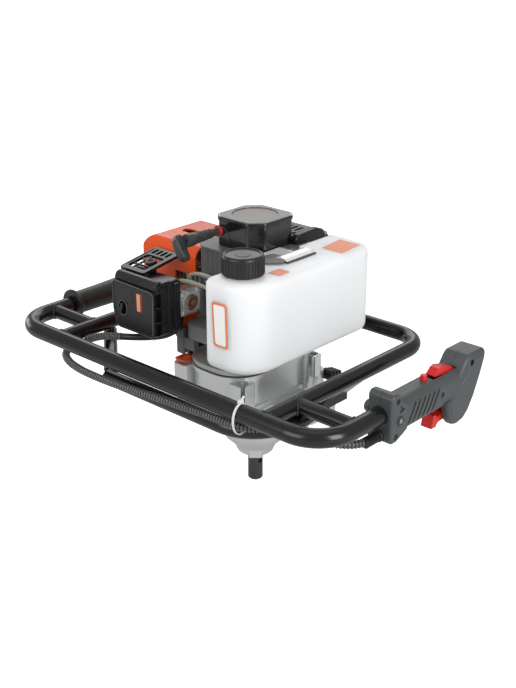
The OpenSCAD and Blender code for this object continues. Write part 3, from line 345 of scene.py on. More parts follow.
def eight_sided(half, inner):
    """A square with cut corners: half is half its width, and inner half of a straight side."""
    near = [(-half, -inner), (-inner, -half), (inner, -half), (half, -inner)]
    return near + [(-x, -y) for x, y in near]


def scaled(points, share):
    return [(x * share, y * share) for x, y in points]


def ellipse(x, y, across, up, steps):
    """Points round an ellipse about (x, y)."""
    turns = [2 * math.pi * k / steps for k in range(steps)]
    return [(x + across * math.cos(t), y + up * math.sin(t)) for t in turns]


def arc(x, y, radius, start, steps=10):
    """A quarter turn about (x, y), from the angle start in degrees."""
    turns = [math.radians(start + 90 * k / steps) for k in range(steps + 1)]
    return [(x + radius * math.cos(t), y + radius * math.sin(t)) for t in turns]


def round_cornered(x0, y0, x1, y1, radii, steps=10):
    """A rectangle with quarter turns for corners, each of its own radius, from (x0, y0) round to (x0, y1)."""
    a, b, c, d = radii
    return (arc(x0 + a, y0 + a, a, 180, steps) + arc(x1 - b, y0 + b, b, 270, steps)
            + arc(x1 - c, y1 - c, c, 0, steps) + arc(x0 + d, y1 - d, d, 90, steps))


def oblong(name, middle, size, axis="X", turn=0, corner=None):
    """A box about its middle, in mm, with corners rounded along one axis, turned about X by degrees."""
    m, s = Vector(middle), Vector(size) / 2
    piece = block(name, m - s, m + s)
    if corner:
        k = "XYZ".index(axis)
        round_edges(piece, corner, 4, lambda c, d: abs(d[k]) > 0.9)
    if turn:
        centre = Matrix.Translation(m * MM)
        moved(piece, centre @ Matrix.Rotation(math.radians(turn), 4, "X") @ centre.inverted())
    return piece


def faced(name, points, y0, y1, corner, edge):
    """An outline of (x, z) drawn out from the front face y0 to y1, with its front edge rounded."""
    piece = plate(name, "Y", y1, y0 - y1, rounded(points, corner))
    return round_edges(piece, edge, 3, lambda c, d: c.y < y0 + 0.01)


# Shared surface effects
def feed(tree, value, socket):
    """Links a socket to another one, or sets it to a plain value."""
    if isinstance(value, bpy.types.NodeSocket):
        tree.links.new(value, socket)
    else:
        socket.default_value = value


def noise(tree, vector, scale, detail, rough=0.5):
    n = tree.nodes.new("ShaderNodeTexNoise")
    for label, v in (("Vector", vector), ("Scale", scale), ("Detail", detail), ("Roughness", rough)):
        feed(tree, v, n.inputs[label])
    return n.outputs["Fac"]


def ranged(tree, value, lo, hi, to_lo=0, to_hi=1):
    n = tree.nodes.new("ShaderNodeMapRange")
    limits = (("From Min", lo), ("From Max", hi), ("To Min", to_lo), ("To Max", to_hi))
    for label, v in (("Value", value), *limits):
        feed(tree, v, n.inputs[label])
    return n.outputs["Result"]


def math_node(tree, what, a, b):
    n = tree.nodes.new("ShaderNodeMath")
    n.operation = what
    feed(tree, a, n.inputs[0])
    feed(tree, b, n.inputs[1])
    return n.outputs[0]


def mixed(tree, share, a, b):
    """Two colours mixed by a share of the second."""
    n = tree.nodes.new("ShaderNodeMix")
    n.data_type = "RGBA"
    for label, v in (("Factor", share), ("A", a), ("B", b)):
        feed(tree, v, n.inputs[label])
    return n.outputs["Result"]


def surface_group():
    """Colour drift, roughness drift, speckle and fine relief over one base colour."""
    g = bpy.data.node_groups.new("surface", "ShaderNodeTree")
    for label, kind, value in (
        ("Vector", "NodeSocketVector", (0, 0, 0)),
        ("Colour", "NodeSocketColor", (0.5, 0.5, 0.5, 1)),
        ("Second Colour", "NodeSocketColor", (0.5, 0.5, 0.5, 1)),
        ("Drift Scale", "NodeSocketFloat", 30.0),
        ("Drift", "NodeSocketFloat", 0.3),
        ("Roughness", "NodeSocketFloat", 0.4),
        ("Roughness Drift", "NodeSocketFloat", 0.08),
        ("Grain Scale", "NodeSocketFloat", 900.0),
        ("Speckle", "NodeSocketFloat", 0.2),
    ):
        socket = g.interface.new_socket(label, in_out="INPUT", socket_type=kind)
        socket.default_value = value
    for label, kind in (
        ("Colour", "NodeSocketColor"), ("Roughness", "NodeSocketFloat"), ("Relief", "NodeSocketFloat")
    ):
        g.interface.new_socket(label, in_out="OUTPUT", socket_type=kind)
    given = g.nodes.new("NodeGroupInput").outputs
    result = g.nodes.new("NodeGroupOutput").inputs
    big = noise(g, given["Vector"], given["Drift Scale"], 5)
    fine = noise(g, given["Vector"], given["Grain Scale"], 3)
    swing = ranged(g, big, 0.3, 0.7)
    spots = ranged(g, fine, 0.35, 0.75)
    share = math_node(g, "ADD", math_node(g, "MULTIPLY", swing, given["Drift"]),
                      math_node(g, "MULTIPLY", spots, given["Speckle"]))
    g.links.new(mixed(g, share, given["Colour"], given["Second Colour"]), result["Colour"])
    shift = math_node(g, "MULTIPLY", math_node(g, "SUBTRACT", swing, 0.5), given["Roughness Drift"])
    g.links.new(math_node(g, "ADD", given["Roughness"], shift), result["Roughness"])
    g.links.new(fine, result["Relief"])
    return g


SURFACE = surface_group()


def finish_of(name, colour, second, rough=0.4, metal=0.0, drift=0.35, drift_scale=30, rough_drift=0.1,
              grain=900, speckle=0.15, relief=0.02, coat=0.0, coat_rough=0.1, spec=0.5):
    """A material from the shared surface effects, all on Object coordinates."""
    m = bpy.data.materials.new(name)
    m.use_nodes = True
    t = m.node_tree
    p = t.nodes["Principled BSDF"]
    where = t.nodes.new("ShaderNodeTexCoord")
    s = t.nodes.new("ShaderNodeGroup")
    s.node_tree = SURFACE
    for label, v in (("Vector", where.outputs["Object"]), ("Colour", (*colour, 1)),
                     ("Second Colour", (*second, 1)), ("Drift Scale", drift_scale), ("Drift", drift),
                     ("Roughness", rough), ("Roughness Drift", rough_drift), ("Grain Scale", grain),
                     ("Speckle", speckle)):
        feed(t, v, s.inputs[label])
    bump = t.nodes.new("ShaderNodeBump")
    bump.inputs["Strength"].default_value = min(1.0, relief * 10)
    bump.inputs["Distance"].default_value = 0.0002
    t.links.new(s.outputs["Relief"], bump.inputs["Height"])
    for label, v in (("Base Color", s.outputs["Colour"]), ("Roughness", s.outputs["Roughness"]),
                     ("Normal", bump.outputs["Normal"]), ("Metallic", metal), ("Specular IOR Level", spec),
                     ("Coat Weight", coat), ("Coat Roughness", coat_rough)):
        feed(t, v, p.inputs[label])
    return m


# Finishes
M = {
    "frame_paint": finish_of("gloss_black_paint", (0.006, 0.006, 0.007), (0.013, 0.013, 0.014), 0.2,
                             drift_scale=14, grain=420, relief=0.008, speckle=0.08, rough_drift=0.06),
    "weld": finish_of("painted_weld", (0.010, 0.010, 0.011), (0.03, 0.03, 0.032), 0.3, drift_scale=260,
                      drift=0.6, grain=500, relief=0.09),
    "steel": finish_of("bolt_steel", (0.55, 0.55, 0.56), (0.32, 0.31, 0.30), 0.3, 1.0, grain=1500,
                       relief=0.02),
    "black_rubber": finish_of("satin_rubber", (0.009, 0.009, 0.009), (0.022, 0.022, 0.022), 0.38,
                              grain=1400, relief=0.04, drift_scale=22),
    "handle_plastic": finish_of("handle_grey", (0.054, 0.060, 0.062), (0.078, 0.086, 0.088), 0.42,
                                grain=1800, relief=0.05, drift_scale=16, speckle=0.25),
    "pull_grey": finish_of("pull_grey", (0.028, 0.030, 0.030), (0.06, 0.064, 0.062), 0.34, grain=1500,
                           relief=0.03, drift_scale=60, drift=0.5),
    "red_plastic": finish_of("switch_red", (0.56, 0.010, 0.009), (0.70, 0.022, 0.018), 0.34, grain=1200,
                             relief=0.012, drift_scale=40),
    "black_plastic": finish_of("moulded_black", (0.007, 0.007, 0.008), (0.017, 0.017, 0.018), 0.27,
                               grain=1500, relief=0.03, drift_scale=24, speckle=0.2),
    # Light grey for painted highlights: the rims of the filter's panel and keyhole, and the starter's lit top
    "highlight_grey": finish_of("painted_highlight_grey", (0.125, 0.13, 0.13), (0.19, 0.195, 0.19), 0.32, grain=900,
                           relief=0.02, drift_scale=30, drift=0.5),
    "fan_grey": finish_of("fan_grey", (0.105, 0.105, 0.107), (0.15, 0.15, 0.153), 0.4, grain=1400,
                          relief=0.04, drift_scale=24),
    # The badge's two colours: dark red for its shaded part (painted shade) and peach for its lit part
    # (painted highlight)
    "badge_shaded_red": finish_of("badge_shaded_red", (0.22, 0.022, 0.012), (0.30, 0.04, 0.02), 0.3, grain=900,
                           relief=0.01),
    "badge_painted_highlight": finish_of("badge_painted_highlight", (0.72, 0.30, 0.16), (0.80, 0.38, 0.22), 0.3, grain=900,
                             relief=0.01),
    "gloss_black": finish_of("starter_black", (0.005, 0.005, 0.006), (0.011, 0.011, 0.012), 0.13, grain=260,
                             relief=0.006, drift_scale=18, speckle=0.05, coat=0.6, coat_rough=0.05),
    "cap_black": finish_of("cap_black", (0.010, 0.010, 0.011), (0.022, 0.022, 0.024), 0.3, grain=1600,
                           relief=0.03, drift_scale=30, speckle=0.25),
    "disc": finish_of("disc_graphite", (0.12, 0.10, 0.09), (0.20, 0.13, 0.10), 0.3, grain=900, relief=0.01,
                      drift_scale=24, drift=0.8),
    "white_nylon": finish_of("tie_nylon", (0.80, 0.81, 0.80), (0.70, 0.71, 0.70), 0.42, grain=900,
                             relief=0.02),
    "cast_aluminium": finish_of("cast_case", (0.62, 0.64, 0.625), (0.78, 0.80, 0.78), 0.34, 0.65,
                                grain=1300, relief=0.06, drift_scale=22, speckle=0.35, rough_drift=0.16),
    "engine_dark": finish_of("engine_dark", (0.17, 0.175, 0.17), (0.26, 0.265, 0.255), 0.38, 0.4,
                             grain=1300, relief=0.06, drift_scale=26, speckle=0.35),
    "post_metal": finish_of("cast_post", (0.72, 0.74, 0.73), (0.84, 0.86, 0.85), 0.26, 0.8, grain=900,
                            relief=0.03, drift_scale=30, speckle=0.2),
    "dark_aluminium": finish_of("cast_engine", (0.38, 0.40, 0.39), (0.50, 0.52, 0.505), 0.4, 0.35,
                                grain=1300, relief=0.06, drift_scale=26, speckle=0.35),
    "dark_steel": finish_of("shaft_black", (0.06, 0.06, 0.062), (0.11, 0.11, 0.113), 0.36, 0.6, grain=1100,
                            relief=0.04, drift_scale=40, speckle=0.3),
    "deep_black": finish_of("guard_black", (0.005, 0.005, 0.006), (0.011, 0.011, 0.012), 0.4, grain=1500,
                            relief=0.03, drift_scale=30, speckle=0.2),
    "gasket_fibre": finish_of("gasket_sheet", (0.045, 0.042, 0.038), (0.085, 0.08, 0.07), 0.8, grain=2200,
                              relief=0.09),
    "ceramic_white": finish_of("plug_glaze", (0.82, 0.82, 0.79), (0.74, 0.73, 0.69), 0.18, grain=300,
                               relief=0.006),
    "zinc": finish_of("bright_zinc", (0.86, 0.88, 0.87), (0.76, 0.79, 0.78), 0.3, 0.25, grain=700,
                      relief=0.012, drift=0.3, speckle=0.05, drift_scale=30, rough_drift=0.12),
    "brass": finish_of("bronze", (0.40, 0.24, 0.15), (0.28, 0.16, 0.10), 0.28, 1.0, grain=900, relief=0.02),
    "filter_foam": finish_of("open_foam", (0.07, 0.065, 0.055), (0.02, 0.02, 0.018), 0.9, grain=700,
                             speckle=0.7, relief=0.1),
    "orange_plastic": finish_of("cover_orange", (0.80, 0.085, 0.010), (0.86, 0.115, 0.018), 0.26, grain=800,
                                relief=0.01, drift_scale=20, spec=0.4),
    "tank_plastic": finish_of("tank_milk", (0.82, 0.835, 0.85), (0.85, 0.862, 0.872), 0.33, grain=700,
                              relief=0.012, drift_scale=9, speckle=0.08),
    "clear_hose": finish_of("hose_amber", (0.42, 0.40, 0.30), (0.55, 0.53, 0.42), 0.2, grain=500,
                            relief=0.01),
    "label_orange": finish_of("patch_orange", (0.76, 0.20, 0.07), (0.84, 0.28, 0.12), 0.38, grain=900,
                              relief=0.01),
    "bush_red": finish_of("bush_red", (0.30, 0.025, 0.025), (0.42, 0.05, 0.045), 0.32, grain=900,
                          relief=0.01),
    # Lighter grey for the cable's rib crests: painted highlights on a black sleeve
    "rib_highlight_grey": finish_of("sleeve_rib_highlight", (0.12, 0.12, 0.12), (0.17, 0.17, 0.167), 0.32, grain=900,
                          relief=0.02, drift_scale=60),
    "label_white": finish_of("patch_white", (0.92, 0.92, 0.915), (0.95, 0.95, 0.945), 0.36, grain=900,
                             relief=0.01),
}
milk = M["tank_plastic"].node_tree.nodes["Principled BSDF"]
milk.inputs["Subsurface Weight"].default_value = 1.0
milk.inputs["Subsurface Radius"].default_value = (1.0, 1.0, 1.0)
milk.inputs["Subsurface Scale"].default_value = 0.03
amber = M["clear_hose"].node_tree.nodes["Principled BSDF"]
amber.inputs["Transmission Weight"].default_value = 0.35

# The CAD nodes keep their shapes and take their finishes
SLOT = {s["node"]: s["material_slot"] for s in record["subparts"]}
for name, node in nodes.items():
    node.data.materials.clear()
    node.data.materials.append(M[SLOT[name]])

# Edges of cast, pressed and moulded CAD pieces, rounded by their radius in mm
ROUND = {
    "gearbox_lower": 1.4, "gearbox_upper": 1.3, "clutch_housing": 1.2, "crankcase": 1.2,
    "cylinder_cover": 1.8, "muffler_guard": 0.9, "muffler": 1.0, "carburettor": 0.9,
    "frame_brackets": 0.9, "throttle_trigger": 1.4, "lock_lever": 1.3, "stop_button": 0.9,
    "choke_lever": 0.8, "tank_bracket": 0.6, "case_bolts": 0.5, "left_grip": 1.2,
    "insulator": 0.8, "throttle_lever": 0.4, "handle_screws": 0.4, "case_gasket": 0.3,
}
for node, width in ROUND.items():
    place(soften(copy_of(node, node + "_rounded"), width), body_of(node), SLOT[node], M[SLOT[node]], node)

# Middle lines of the frame's tubes
BAR_Y, BAR_Z = -180, 168
RAIL_X, PRONG_X, CROSS_Y = 175, 260, -122

# Throttle handle: two moulded halves with a collar, a grooved grip and a curved head
HAND_X = PRONG_X
CHEEK_X = HAND_X + 18.9
SPLIT = 0.15
SCREW_HOLE = 3.7
SCREWS = [(75, 186), (18, 163), (-70, 185.5), (-72, 143)]
COLLAR = [
    (-81, 139), (-78.5, 135.5), (-70, 135.5), (-48, 145), (-48, 176), (-61, 184), (-65.5, 192), (-69, 195),
    (-77, 195), (-81, 191)
]
HEAD = [
    (30, 146), (36, 124), (44, 115), (52, 112.5), (66, 114.5), (76, 122), (87, 138), (99, 164), (106.5, 184),
    (106.5, 192), (103, 196.5), (71, 196.5), (66, 193)
]
CHEEK = [
    (22, 147), (40, 152), (54, 160), (64, 172), (69, 187), (76, 191), (100, 191), (101.5, 185), (94, 166),
    (83, 141), (73, 126.5), (64, 119.5), (54, 117.5), (46, 120), (40, 128), (35, 145)
]


def cheeked(name, points, half, corner, edge):
    """An outline of (y, z) drawn out to both sides of the handle's middle, with soft corners and edges."""
    piece = plate(name, "X", HAND_X - half, 2 * half, rounded(points, corner))
    return round_edges(piece, edge, 4, lambda c, d: abs(abs(c.x - HAND_X) - half) < 0.01)


hand = plate("hand", "Y", -66, 132, rounded(square(HAND_X - 17, 142, HAND_X + 17, 182.5), 14, 8))
carve(hand, cheeked("collar", COLLAR, 17, 5, 3.2), cheeked("head", HEAD, 18, 6, 5), mode="UNION")
carve(
    hand,
    oblong("trigger_slot", (HAND_X, 45, 126), (14.6, 40, 42)),
    oblong("lever_slot", (HAND_X, 35, 186.5), (14.6, 47, 30)),
    drum("button_hole", (HAND_X, 2, 185), 4.6, 30),
    drum("bar_hole", (HAND_X, -80, BAR_Z), 11.2, 30, "Y"),
)
grooves = [
    oblong("groove", (HAND_X + s * 17.2, -43 + 9.4 * k, 162), (3.4, 4.4, 29), "X", -30, 1.2)
    for s in (-1, 1) for k in range(6)
]
holes = [drum("screw_hole", (HAND_X + 18, y, z), SCREW_HOLE, 12, "X", 24) for y, z in SCREWS]
wedge = plate("wedge", "X", HAND_X + 20, -5, [(-66, 180), (-56.5, 172.5), (-66, 170)])
carve(hand, joined("grip_grooves", grooves), joined("screw_holes", holes + [wedge]))
cheek = plate("handle_cheek", "X", HAND_X + 9, CHEEK_X - HAND_X - 9, rounded(CHEEK, 5))
round_edges(cheek, 2.4, 4, lambda c, d: c.x > CHEEK_X - 0.01)
carve(cheek, drum("cheek_hole", (HAND_X + 19, *SCREWS[0]), SCREW_HOLE, 8, "X", 24))
far_half = twin(hand)
carve(hand, block("near_side", (HAND_X + SPLIT, -120, 90), (HAND_X + 40, 140, 230)), mode="INTERSECT")
carve(far_half, block("far_side", (HAND_X - 40, -120, 90), (HAND_X - SPLIT, 140, 230)), mode="INTERSECT")
for half, name, node in (
    (hand, "handle_near_half", "handle_shell_outer"),
    (far_half, "handle_far_half", "handle_shell_inner"),
):
    half.name = half.data.name = name
    place(soften(half, 0.35, 2, 40), "machine", "handle_plastic", M["handle_plastic"], node, angle=32)
place(cheek, "machine", "handle_plastic", M["handle_plastic"])

# Collar fittings: a bright screw in its ring, the clamp knob behind and the ribbed cable boot
CLAMP_X, CLAMP_Y, CLAMP_Z = 277, -63.5, 160
ring_profile = [(3.6, -1), (6.2, -1), (6.2, 1.4), (5.6, 2.1), (4.3, 2.1), (3.6, 1.4)]
ring = turned("screw_ring", ring_profile, (CLAMP_X, CLAMP_Y, CLAMP_Z), "X", 32)
place(ring, "machine", "handle_plastic", M["handle_plastic"])
screw_profile = [(0, -1), (3.3, -1), (3.3, 0.6), (2.5, 1.3), (0, 1.3)]
screw = turned("clamp_screw", screw_profile, (CLAMP_X, CLAMP_Y, CLAMP_Z), "X", 24)
for size in ((1.4, 1, 4.4), (1.4, 4.4, 1)):
    carve(screw, oblong("slot", (CLAMP_X + 1.2, CLAMP_Y, CLAMP_Z), size))
place(screw, "machine", "steel", M["steel"])
knob_profile = [(0, -8.4), (4, -8), (6.6, -6.4), (7.8, -3.6), (8, 0.5), (0, 0.5)]
knob = turned("clamp_knob", knob_profile, (243.4, -73, 171), "X", 32)
place(knob, "machine", "black_plastic", M["handle_plastic"])
boot_profile = [(0, 1), (7, 1), (7.4, 0), (7.4, -3), (6.6, -4)]
for k in range(7):
    h = -4.4 - 3.3 * k
    boot_profile += [(5.2, h), (6.4, h - 0.6), (6.4, h - 1.8), (5.2, h - 2.4)]
boot = turned("cable_boot", boot_profile + [(4, -28), (0, -28)], (HAND_X, -80.4, 143), "Y", 28)
place(boot, "machine", "black_rubber", M["black_rubber"])

# Throttle cable: a finely ribbed sleeve on the route of the CAD solid, smooth at its hidden end
CABLE = [
    (260, -78.5, 143), (260, -92, 143), (258, -107, 143), (250, -124, 144.5), (236, -138, 147.5),
    (215, -146, 150), (195, -151, 151.5), (178, -158, 152), (168, -166, 152), (158, -175, 151.8),
    (144, -182.5, 151.7), (130, -184.6, 152), (115, -185, 152), (85, -185.5, 151), (50, -186, 149),
    (15, -187, 147.5), (-25, -188, 145), (-60, -189, 143), (-95, -189, 142), (-125, -188, 142),
    (-150, -185, 144), (-167, -178, 147), (-174, -166, 151), (-170, -152, 153), (-158, -143, 161),
    (-140, -137, 168), (-120, -132, 172), (-100, -124, 174), (-82, -111, 175), (-68, -96, 177),
    (-61, -83, 183), (-60, -76, 192), (-60, -75, 199), (-60, -75, 205)
]
RIB = 4.2
RIBBED_SHARE = 0.86
route = evenly(CABLE, RIB / 4)
ribbed = int(RIBBED_SHARE * len(route)) // 4 * 4
core = tube("cable_core", route, [4.1] * ribbed + [4.7] * (len(route) - ribbed))
place(core, "machine", "black_rubber", M["black_rubber"], "throttle_cable", angle=60)
# The crests are a second tube in lighter grey over the black core: painted highlights on the ribs
crests = [(5.2, 5.2, 3.4, 3.4)[i % 4] for i in range(ribbed)]
place(tube("cable_ribs", route[:ribbed], crests), "machine", "black_rubber", M["rib_highlight_grey"], angle=50)

# Nylon tie: a strap round the bar and the sleeve, with its head on top and its tail bent up
TIE_X, TIE_Y, TIE_Z = 144.2, -181, 161.5
TIE_ACROSS, TIE_UP = 13.2, 19.2
tie = plate("tie_strap", "X", 142.6, 3, ellipse(TIE_Y, TIE_Z, TIE_ACROSS, TIE_UP, 40))
carve(tie, plate("tie_inside", "X", 140, 9, ellipse(TIE_Y, TIE_Z, 0.925 * TIE_ACROSS, 0.947 * TIE_UP, 40)))
head = oblong("tie_head", (TIE_X, TIE_Y, 182.4), (5, 6, 4.4), "Y", 0, 1.2)
tail = oblong("tie_tail", (TIE_X, -177.5, 185.6), (2.8, 1.1, 5.6), "Y", -38)
tie = joined("tie_strap", [soften(tie, 0.35, 2, 50), soften(head, 0.5, 2), soften(tail, 0.3, 2)])
place(tie, "machine", "white_nylon", M["white_nylon"], "cable_tie")

# Fuel tank: a blow-moulded box with wide curves on its outer side and a seat for the strip
TANK_LO, TANK_HI = (Vector(c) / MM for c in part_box("fuel_tank"))
TX0, TX1, TY0, TY1, TZ0, TZ1 = 57.5, TANK_HI.x, TANK_LO.y - 1.5, TANK_HI.y, TANK_LO.z, 300
shell = plate("milky_tank", "Z", TZ0, TZ1 - TZ0, round_cornered(TX0, TY0, TX1, TY1, (10.5, 40, 25, 10.5)))
round_edges(shell, 10, 7, lambda c, d: c.z > TZ1 - 0.1 or c.z < TZ0 + 0.1)
carve(shell, block("seat", (40, -54, 286), (90, 8, 320)), block("rear_step", (40, 5, 250), (65.5, 100, 320)))
soften(shell, 3.2, 4, 40)
place(shell, "machine", "tank_plastic", M["tank_plastic"], "fuel_tank", angle=50)

# Fuel cap: a turned lid with a raised rim, and one rib copied round its skirt
CAP_X, CAP_Y, CAP_Z = CAP = (84, -112, TZ1)
CAP_RIBS = 36
lid_profile = [
    (0, 3), (23.6, 3), (23.6, 0.6), (24, 0.4), (24.2, 0.8), (24.2, 20.5), (23.7, 22.6), (22.2, 23.8),
    (20.4, 24), (19.8, 23.4), (19.2, 22.6), (9, 22.4), (8.6, 22.8), (0, 22.8)
]
cap_pieces = [turned("fluted_cap", lid_profile, CAP, steps=72)]
rib = block("rib", (CAP_X + 23.4, CAP_Y - 0.75, CAP_Z + 1.5), (CAP_X + 25, CAP_Y + 0.75, CAP_Z + 20.6))
round_edges(rib, 0.45, 1, lambda c, d: c.x > CAP_X + 24.9)
middle = Matrix.Translation(Vector(CAP) * MM)
for k in range(CAP_RIBS):
    one = twin(rib)
    one.data.transform(middle @ Matrix.Rotation(2 * math.pi * k / CAP_RIBS, 4, "Z") @ middle.inverted())
    cap_pieces.append(one)
bpy.data.objects.remove(rib)
place(joined("fluted_cap", cap_pieces), "cap", "black_plastic", M["cap_black"], "fuel_cap", angle=40)

# Starter housing: a chamfered square with a rolled rim and a bare round plate on top
HALF, NEAR_CUT, SIDE_CUT = 37, 16, 10
STARTER_FOOT, STARTER_TOP = 292, 329
outline = [
    (HALF, HALF - SIDE_CUT), (HALF - SIDE_CUT, HALF), (NEAR_CUT - HALF, HALF), (-HALF, HALF - NEAR_CUT),
    (-HALF, SIDE_CUT - HALF), (SIDE_CUT - HALF, -HALF), (HALF - NEAR_CUT, -HALF), (HALF, NEAR_CUT - HALF)
]
lid = plate("starter_lid", "Z", STARTER_FOOT, 32, outline)
round_edges(lid, 2.6, 4, lambda c, d: abs(d.z) > 0.9)
rim = plate("starter_rim", "Z", STARTER_TOP - 5, 5, scaled(outline, 1.03))
round_edges(rim, 2.8, 4, lambda c, d: abs(d.z) > 0.9)
round_edges(rim, 2, 3, lambda c, d: c.z > STARTER_TOP - 0.1)
round_edges(rim, 0.8, 2, lambda c, d: c.z < STARTER_TOP - 4.9)
carve(lid, rim, mode="UNION")
carve(lid, drum("plate_seat", (0, 0, STARTER_TOP), 29, 2.8, sides=72))
pieces = [soften(lid, 0.5, 2, 60)]
for x, y in ((34, 34), (-34, 34), (34, -34)):
    foot = block("foot", (x - 6, y - 6, STARTER_FOOT), (x + 6, y + 6, STARTER_FOOT + 5))
    pieces.append(soften(foot, 1.5))
lid = joined("starter_lid", pieces)
place(lid, "machine", "black_plastic", M["gloss_black"], "starter_housing", angle=40)
# A light grey panel round the plate: a painted highlight on the lid's lit top face
top_panel = plate("starter_panel", "Z", STARTER_TOP - 0.3, 0.55, rounded(scaled(outline, 0.955), 3))
carve(top_panel, drum("panel_hole", (0, 0, STARTER_TOP), 29.4, 6, sides=72))
place(top_panel, "machine", "black_plastic", M["highlight_grey"])
arch_line = [(-9, 294)] + arc(-26, 301, 17, 0, 16) + [(-26, 294)]
arch = plate("rope_arch", "Y", 0.5 - HALF, -1.5, arch_line)
place(soften(arch, 0.5, 3, 40), "machine", "black_plastic", M["gloss_black"])
disc_profile = [(0, 0), (28.6, 0), (28.6, 0.8), (28, 1.2), (26.4, 1.2), (26, 0.9), (0, 0.9)]
place(turned("bare_disc", disc_profile, (0, 0, STARTER_TOP - 1.5)), "machine", "black_plastic", M["disc"])

# Pull handle: a bowed bar on a ribbed neck, with the red bush in the housing
ROPE = (-25, 0, 311)
neck_profile = [(2.2, -95), (8.2, -95), (8.4, -88), (7.4, -80)]
for k in range(5):
    h = -78 + 5.4 * k
    r = 7.2 - 0.32 * k
    neck_profile += [(r - 1, h), (r, h + 0.6), (r, h + 3), (r - 1, h + 3.6)]
neck_profile += [(5, -48), (4.6, -44.6), (2.2, -44.2)]
neck = turned("pull_neck", neck_profile, ROPE, "Y", 28)
BOW = [
    (-16.5, -3.5), (-12, -7.4), (-5, -9), (5, -9), (12, -7.4), (16.5, -3.5), (17, 0.5), (15, 3.6), (8, 4.4),
    (-8, 4.4), (-15, 3.6), (-17, 0.5)
]
bar = plate("pull_bar", "X", -6, 12, [(y, z) for z, y in rounded(BOW, 3)])
round_edges(bar, 3, 4, lambda c, d: abs(abs(c.x) - 6) < 0.01)
moved(bar, Matrix.Translation(Vector((-31, -97, 301)) * MM) @ Matrix.Rotation(math.radians(-30), 4, "Y"))
pull = joined("pull_bar", [bar, neck])
place(pull, "pull_handle", SLOT["starter_handle"], M["pull_grey"], "starter_handle", angle=40)
bush_profile = [
    (2.5, -42.5), (6.2, -42.5), (7, -41.6), (7, -38.8), (6.2, -37.8), (5.2, -37), (5.2, -28), (2.5, -28)
]
bush = turned("red_bush", bush_profile, ROPE, "Y", 32)
place(bush, "machine", SLOT["rope_bush"], M["bush_red"], "rope_bush")

# Air filter cover: a box with a raised front panel, a rolled shoulder, side windows and a keyhole
FX0, FX1, FY0, FY1, FZ0, FZ1 = -117, -40, -138, -97, 190, 258
ROLL_X, ROLL_LENGTH = -78.5, 74
KEY_X, KEY_RADIUS, KEY_LOW, KEY_HIGH = -98, 7.2, 216.5, 221
DRAIN = (-58, -124, FZ0)
PANEL = [(-110, 190.5), (-43, 190.5), (-41, 251), (-117, 253), (-116.5, 214)]
cover = faced("filter_box", square(FX0, FZ0, FX1, FZ1), FY0 + 6, FY1, 8, 3)
panel = faced("filter_panel", PANEL, FY0, FY0 + 8, 7, 1.2)
pick(panel, lambda c, n: n.y < -0.99)
bpy.ops.mesh.inset(thickness=1.3 * MM, depth=0)
bpy.ops.mesh.inset(thickness=0.7 * MM, depth=-0.9 * MM)
done()
roll = drum("filter_roll", (ROLL_X, -126, 254.4), 8.2, ROLL_LENGTH, "X", 40)
round_edges(roll, 2, 3, lambda c, d: abs(abs(c.x - ROLL_X) - ROLL_LENGTH / 2) < 0.01)
carve(cover, panel, roll, mode="UNION")
windows = [oblong("window", (FX1, -130.4, 201 + 19.2 * k), (11, 8.6, 17.2), "X", 0, 0.8) for k in range(3)]
key, key_foot = (drum("key", (KEY_X, FY0, z), KEY_RADIUS, 18, "Y", 32) for z in (KEY_HIGH, KEY_LOW))
waist = block("key", (KEY_X - KEY_RADIUS, FY0 - 9, KEY_LOW), (KEY_X + KEY_RADIUS, FY0 + 9, KEY_HIGH))
carve(key, key_foot, waist, mode="UNION")
carve(
    cover,
    joined("windows", windows),
    key,
    oblong("badge_seat", (-67, FY0, 232), (10.6, 3.4, 25), "Y", 0, 0.8),
    oblong("stroke", (-80, FY0, 236), (1.1, 2.6, 17)),
)
pieces = [soften(cover, 0.4, 2, 45)]
for y, width in ((-112, 5), (-100, 7)):
    pieces.append(soften(oblong("ridge", (FX1 - 1, y, 224), (4.4, width, 62), "Z", 0, 1.2), 0.6, 2))
pieces.append(soften(oblong("latch", (-44, -118, FZ1), (9, 16, 6), "X", 0, 2), 0.6, 2))
boss_profile = [(0, -2), (4.6, -2), (4.6, 1.6), (3.8, 2.4), (2, 2.4), (1.6, 1.4), (0, 1.4)]
pieces.append(turned("roll_boss", boss_profile, (-42, -128, 253.5), "X", 24))
tip_profile = [(0, -9.4), (1.6, -9), (2.4, -7.8), (2, -6.4), (0, -6)]
place(turned("drain_tip", tip_profile, DRAIN, "Z", 20), "filter_lid", "black_plastic", M["zinc"])
drain_profile = [(0, -7), (2.6, -7), (3.2, -6), (3.2, -3), (2.4, -2), (2.4, 1), (0, 1)]
pieces.append(turned("drain", drain_profile, DRAIN, "Z", 20))
place(joined("filter_box", pieces), "filter_lid", "black_plastic", M["black_plastic"], "filter_cover")
# The badge: a dark red plate for its shaded part, with a peach face over its left part as a painted highlight
badge = oblong("bare_badge", (-67, FY0 + 1.3, 232), (10, 1.2, 24.4), "Y", 0, 0.7)
place(soften(badge, 0.25, 2), "filter_lid", "black_plastic", M["badge_shaded_red"])
face = oblong("badge_highlight_face", (-68.4, FY0 + 0.7, 232), (6.2, 0.9, 22.6), "Y", 0, 0.5)
place(soften(face, 0.2, 2), "filter_lid", "black_plastic", M["badge_painted_highlight"])

# Light grey rims along the edges of the filter's panel and keyhole: painted highlights
PANEL_RIM = [(-109.2, 191.4), (-43.8, 191.4), (-41.8, 250.2), (-116.1, 252.2), (-115.6, 214.2)]
for name, line, radius in (
    ("panel_rim", rounded(PANEL_RIM, 7), 0.55),
    ("key_rim", ellipse(KEY_X, 218.5, 7.6, 9.8, 48), 0.5),
):
    rim = tube(name, [(x, FY0 + 0.5, z) for x, z in line], [radius] * len(line), 8, closed=True)
    place(rim, "filter_lid", "black_plastic", M["highlight_grey"], angle=60)

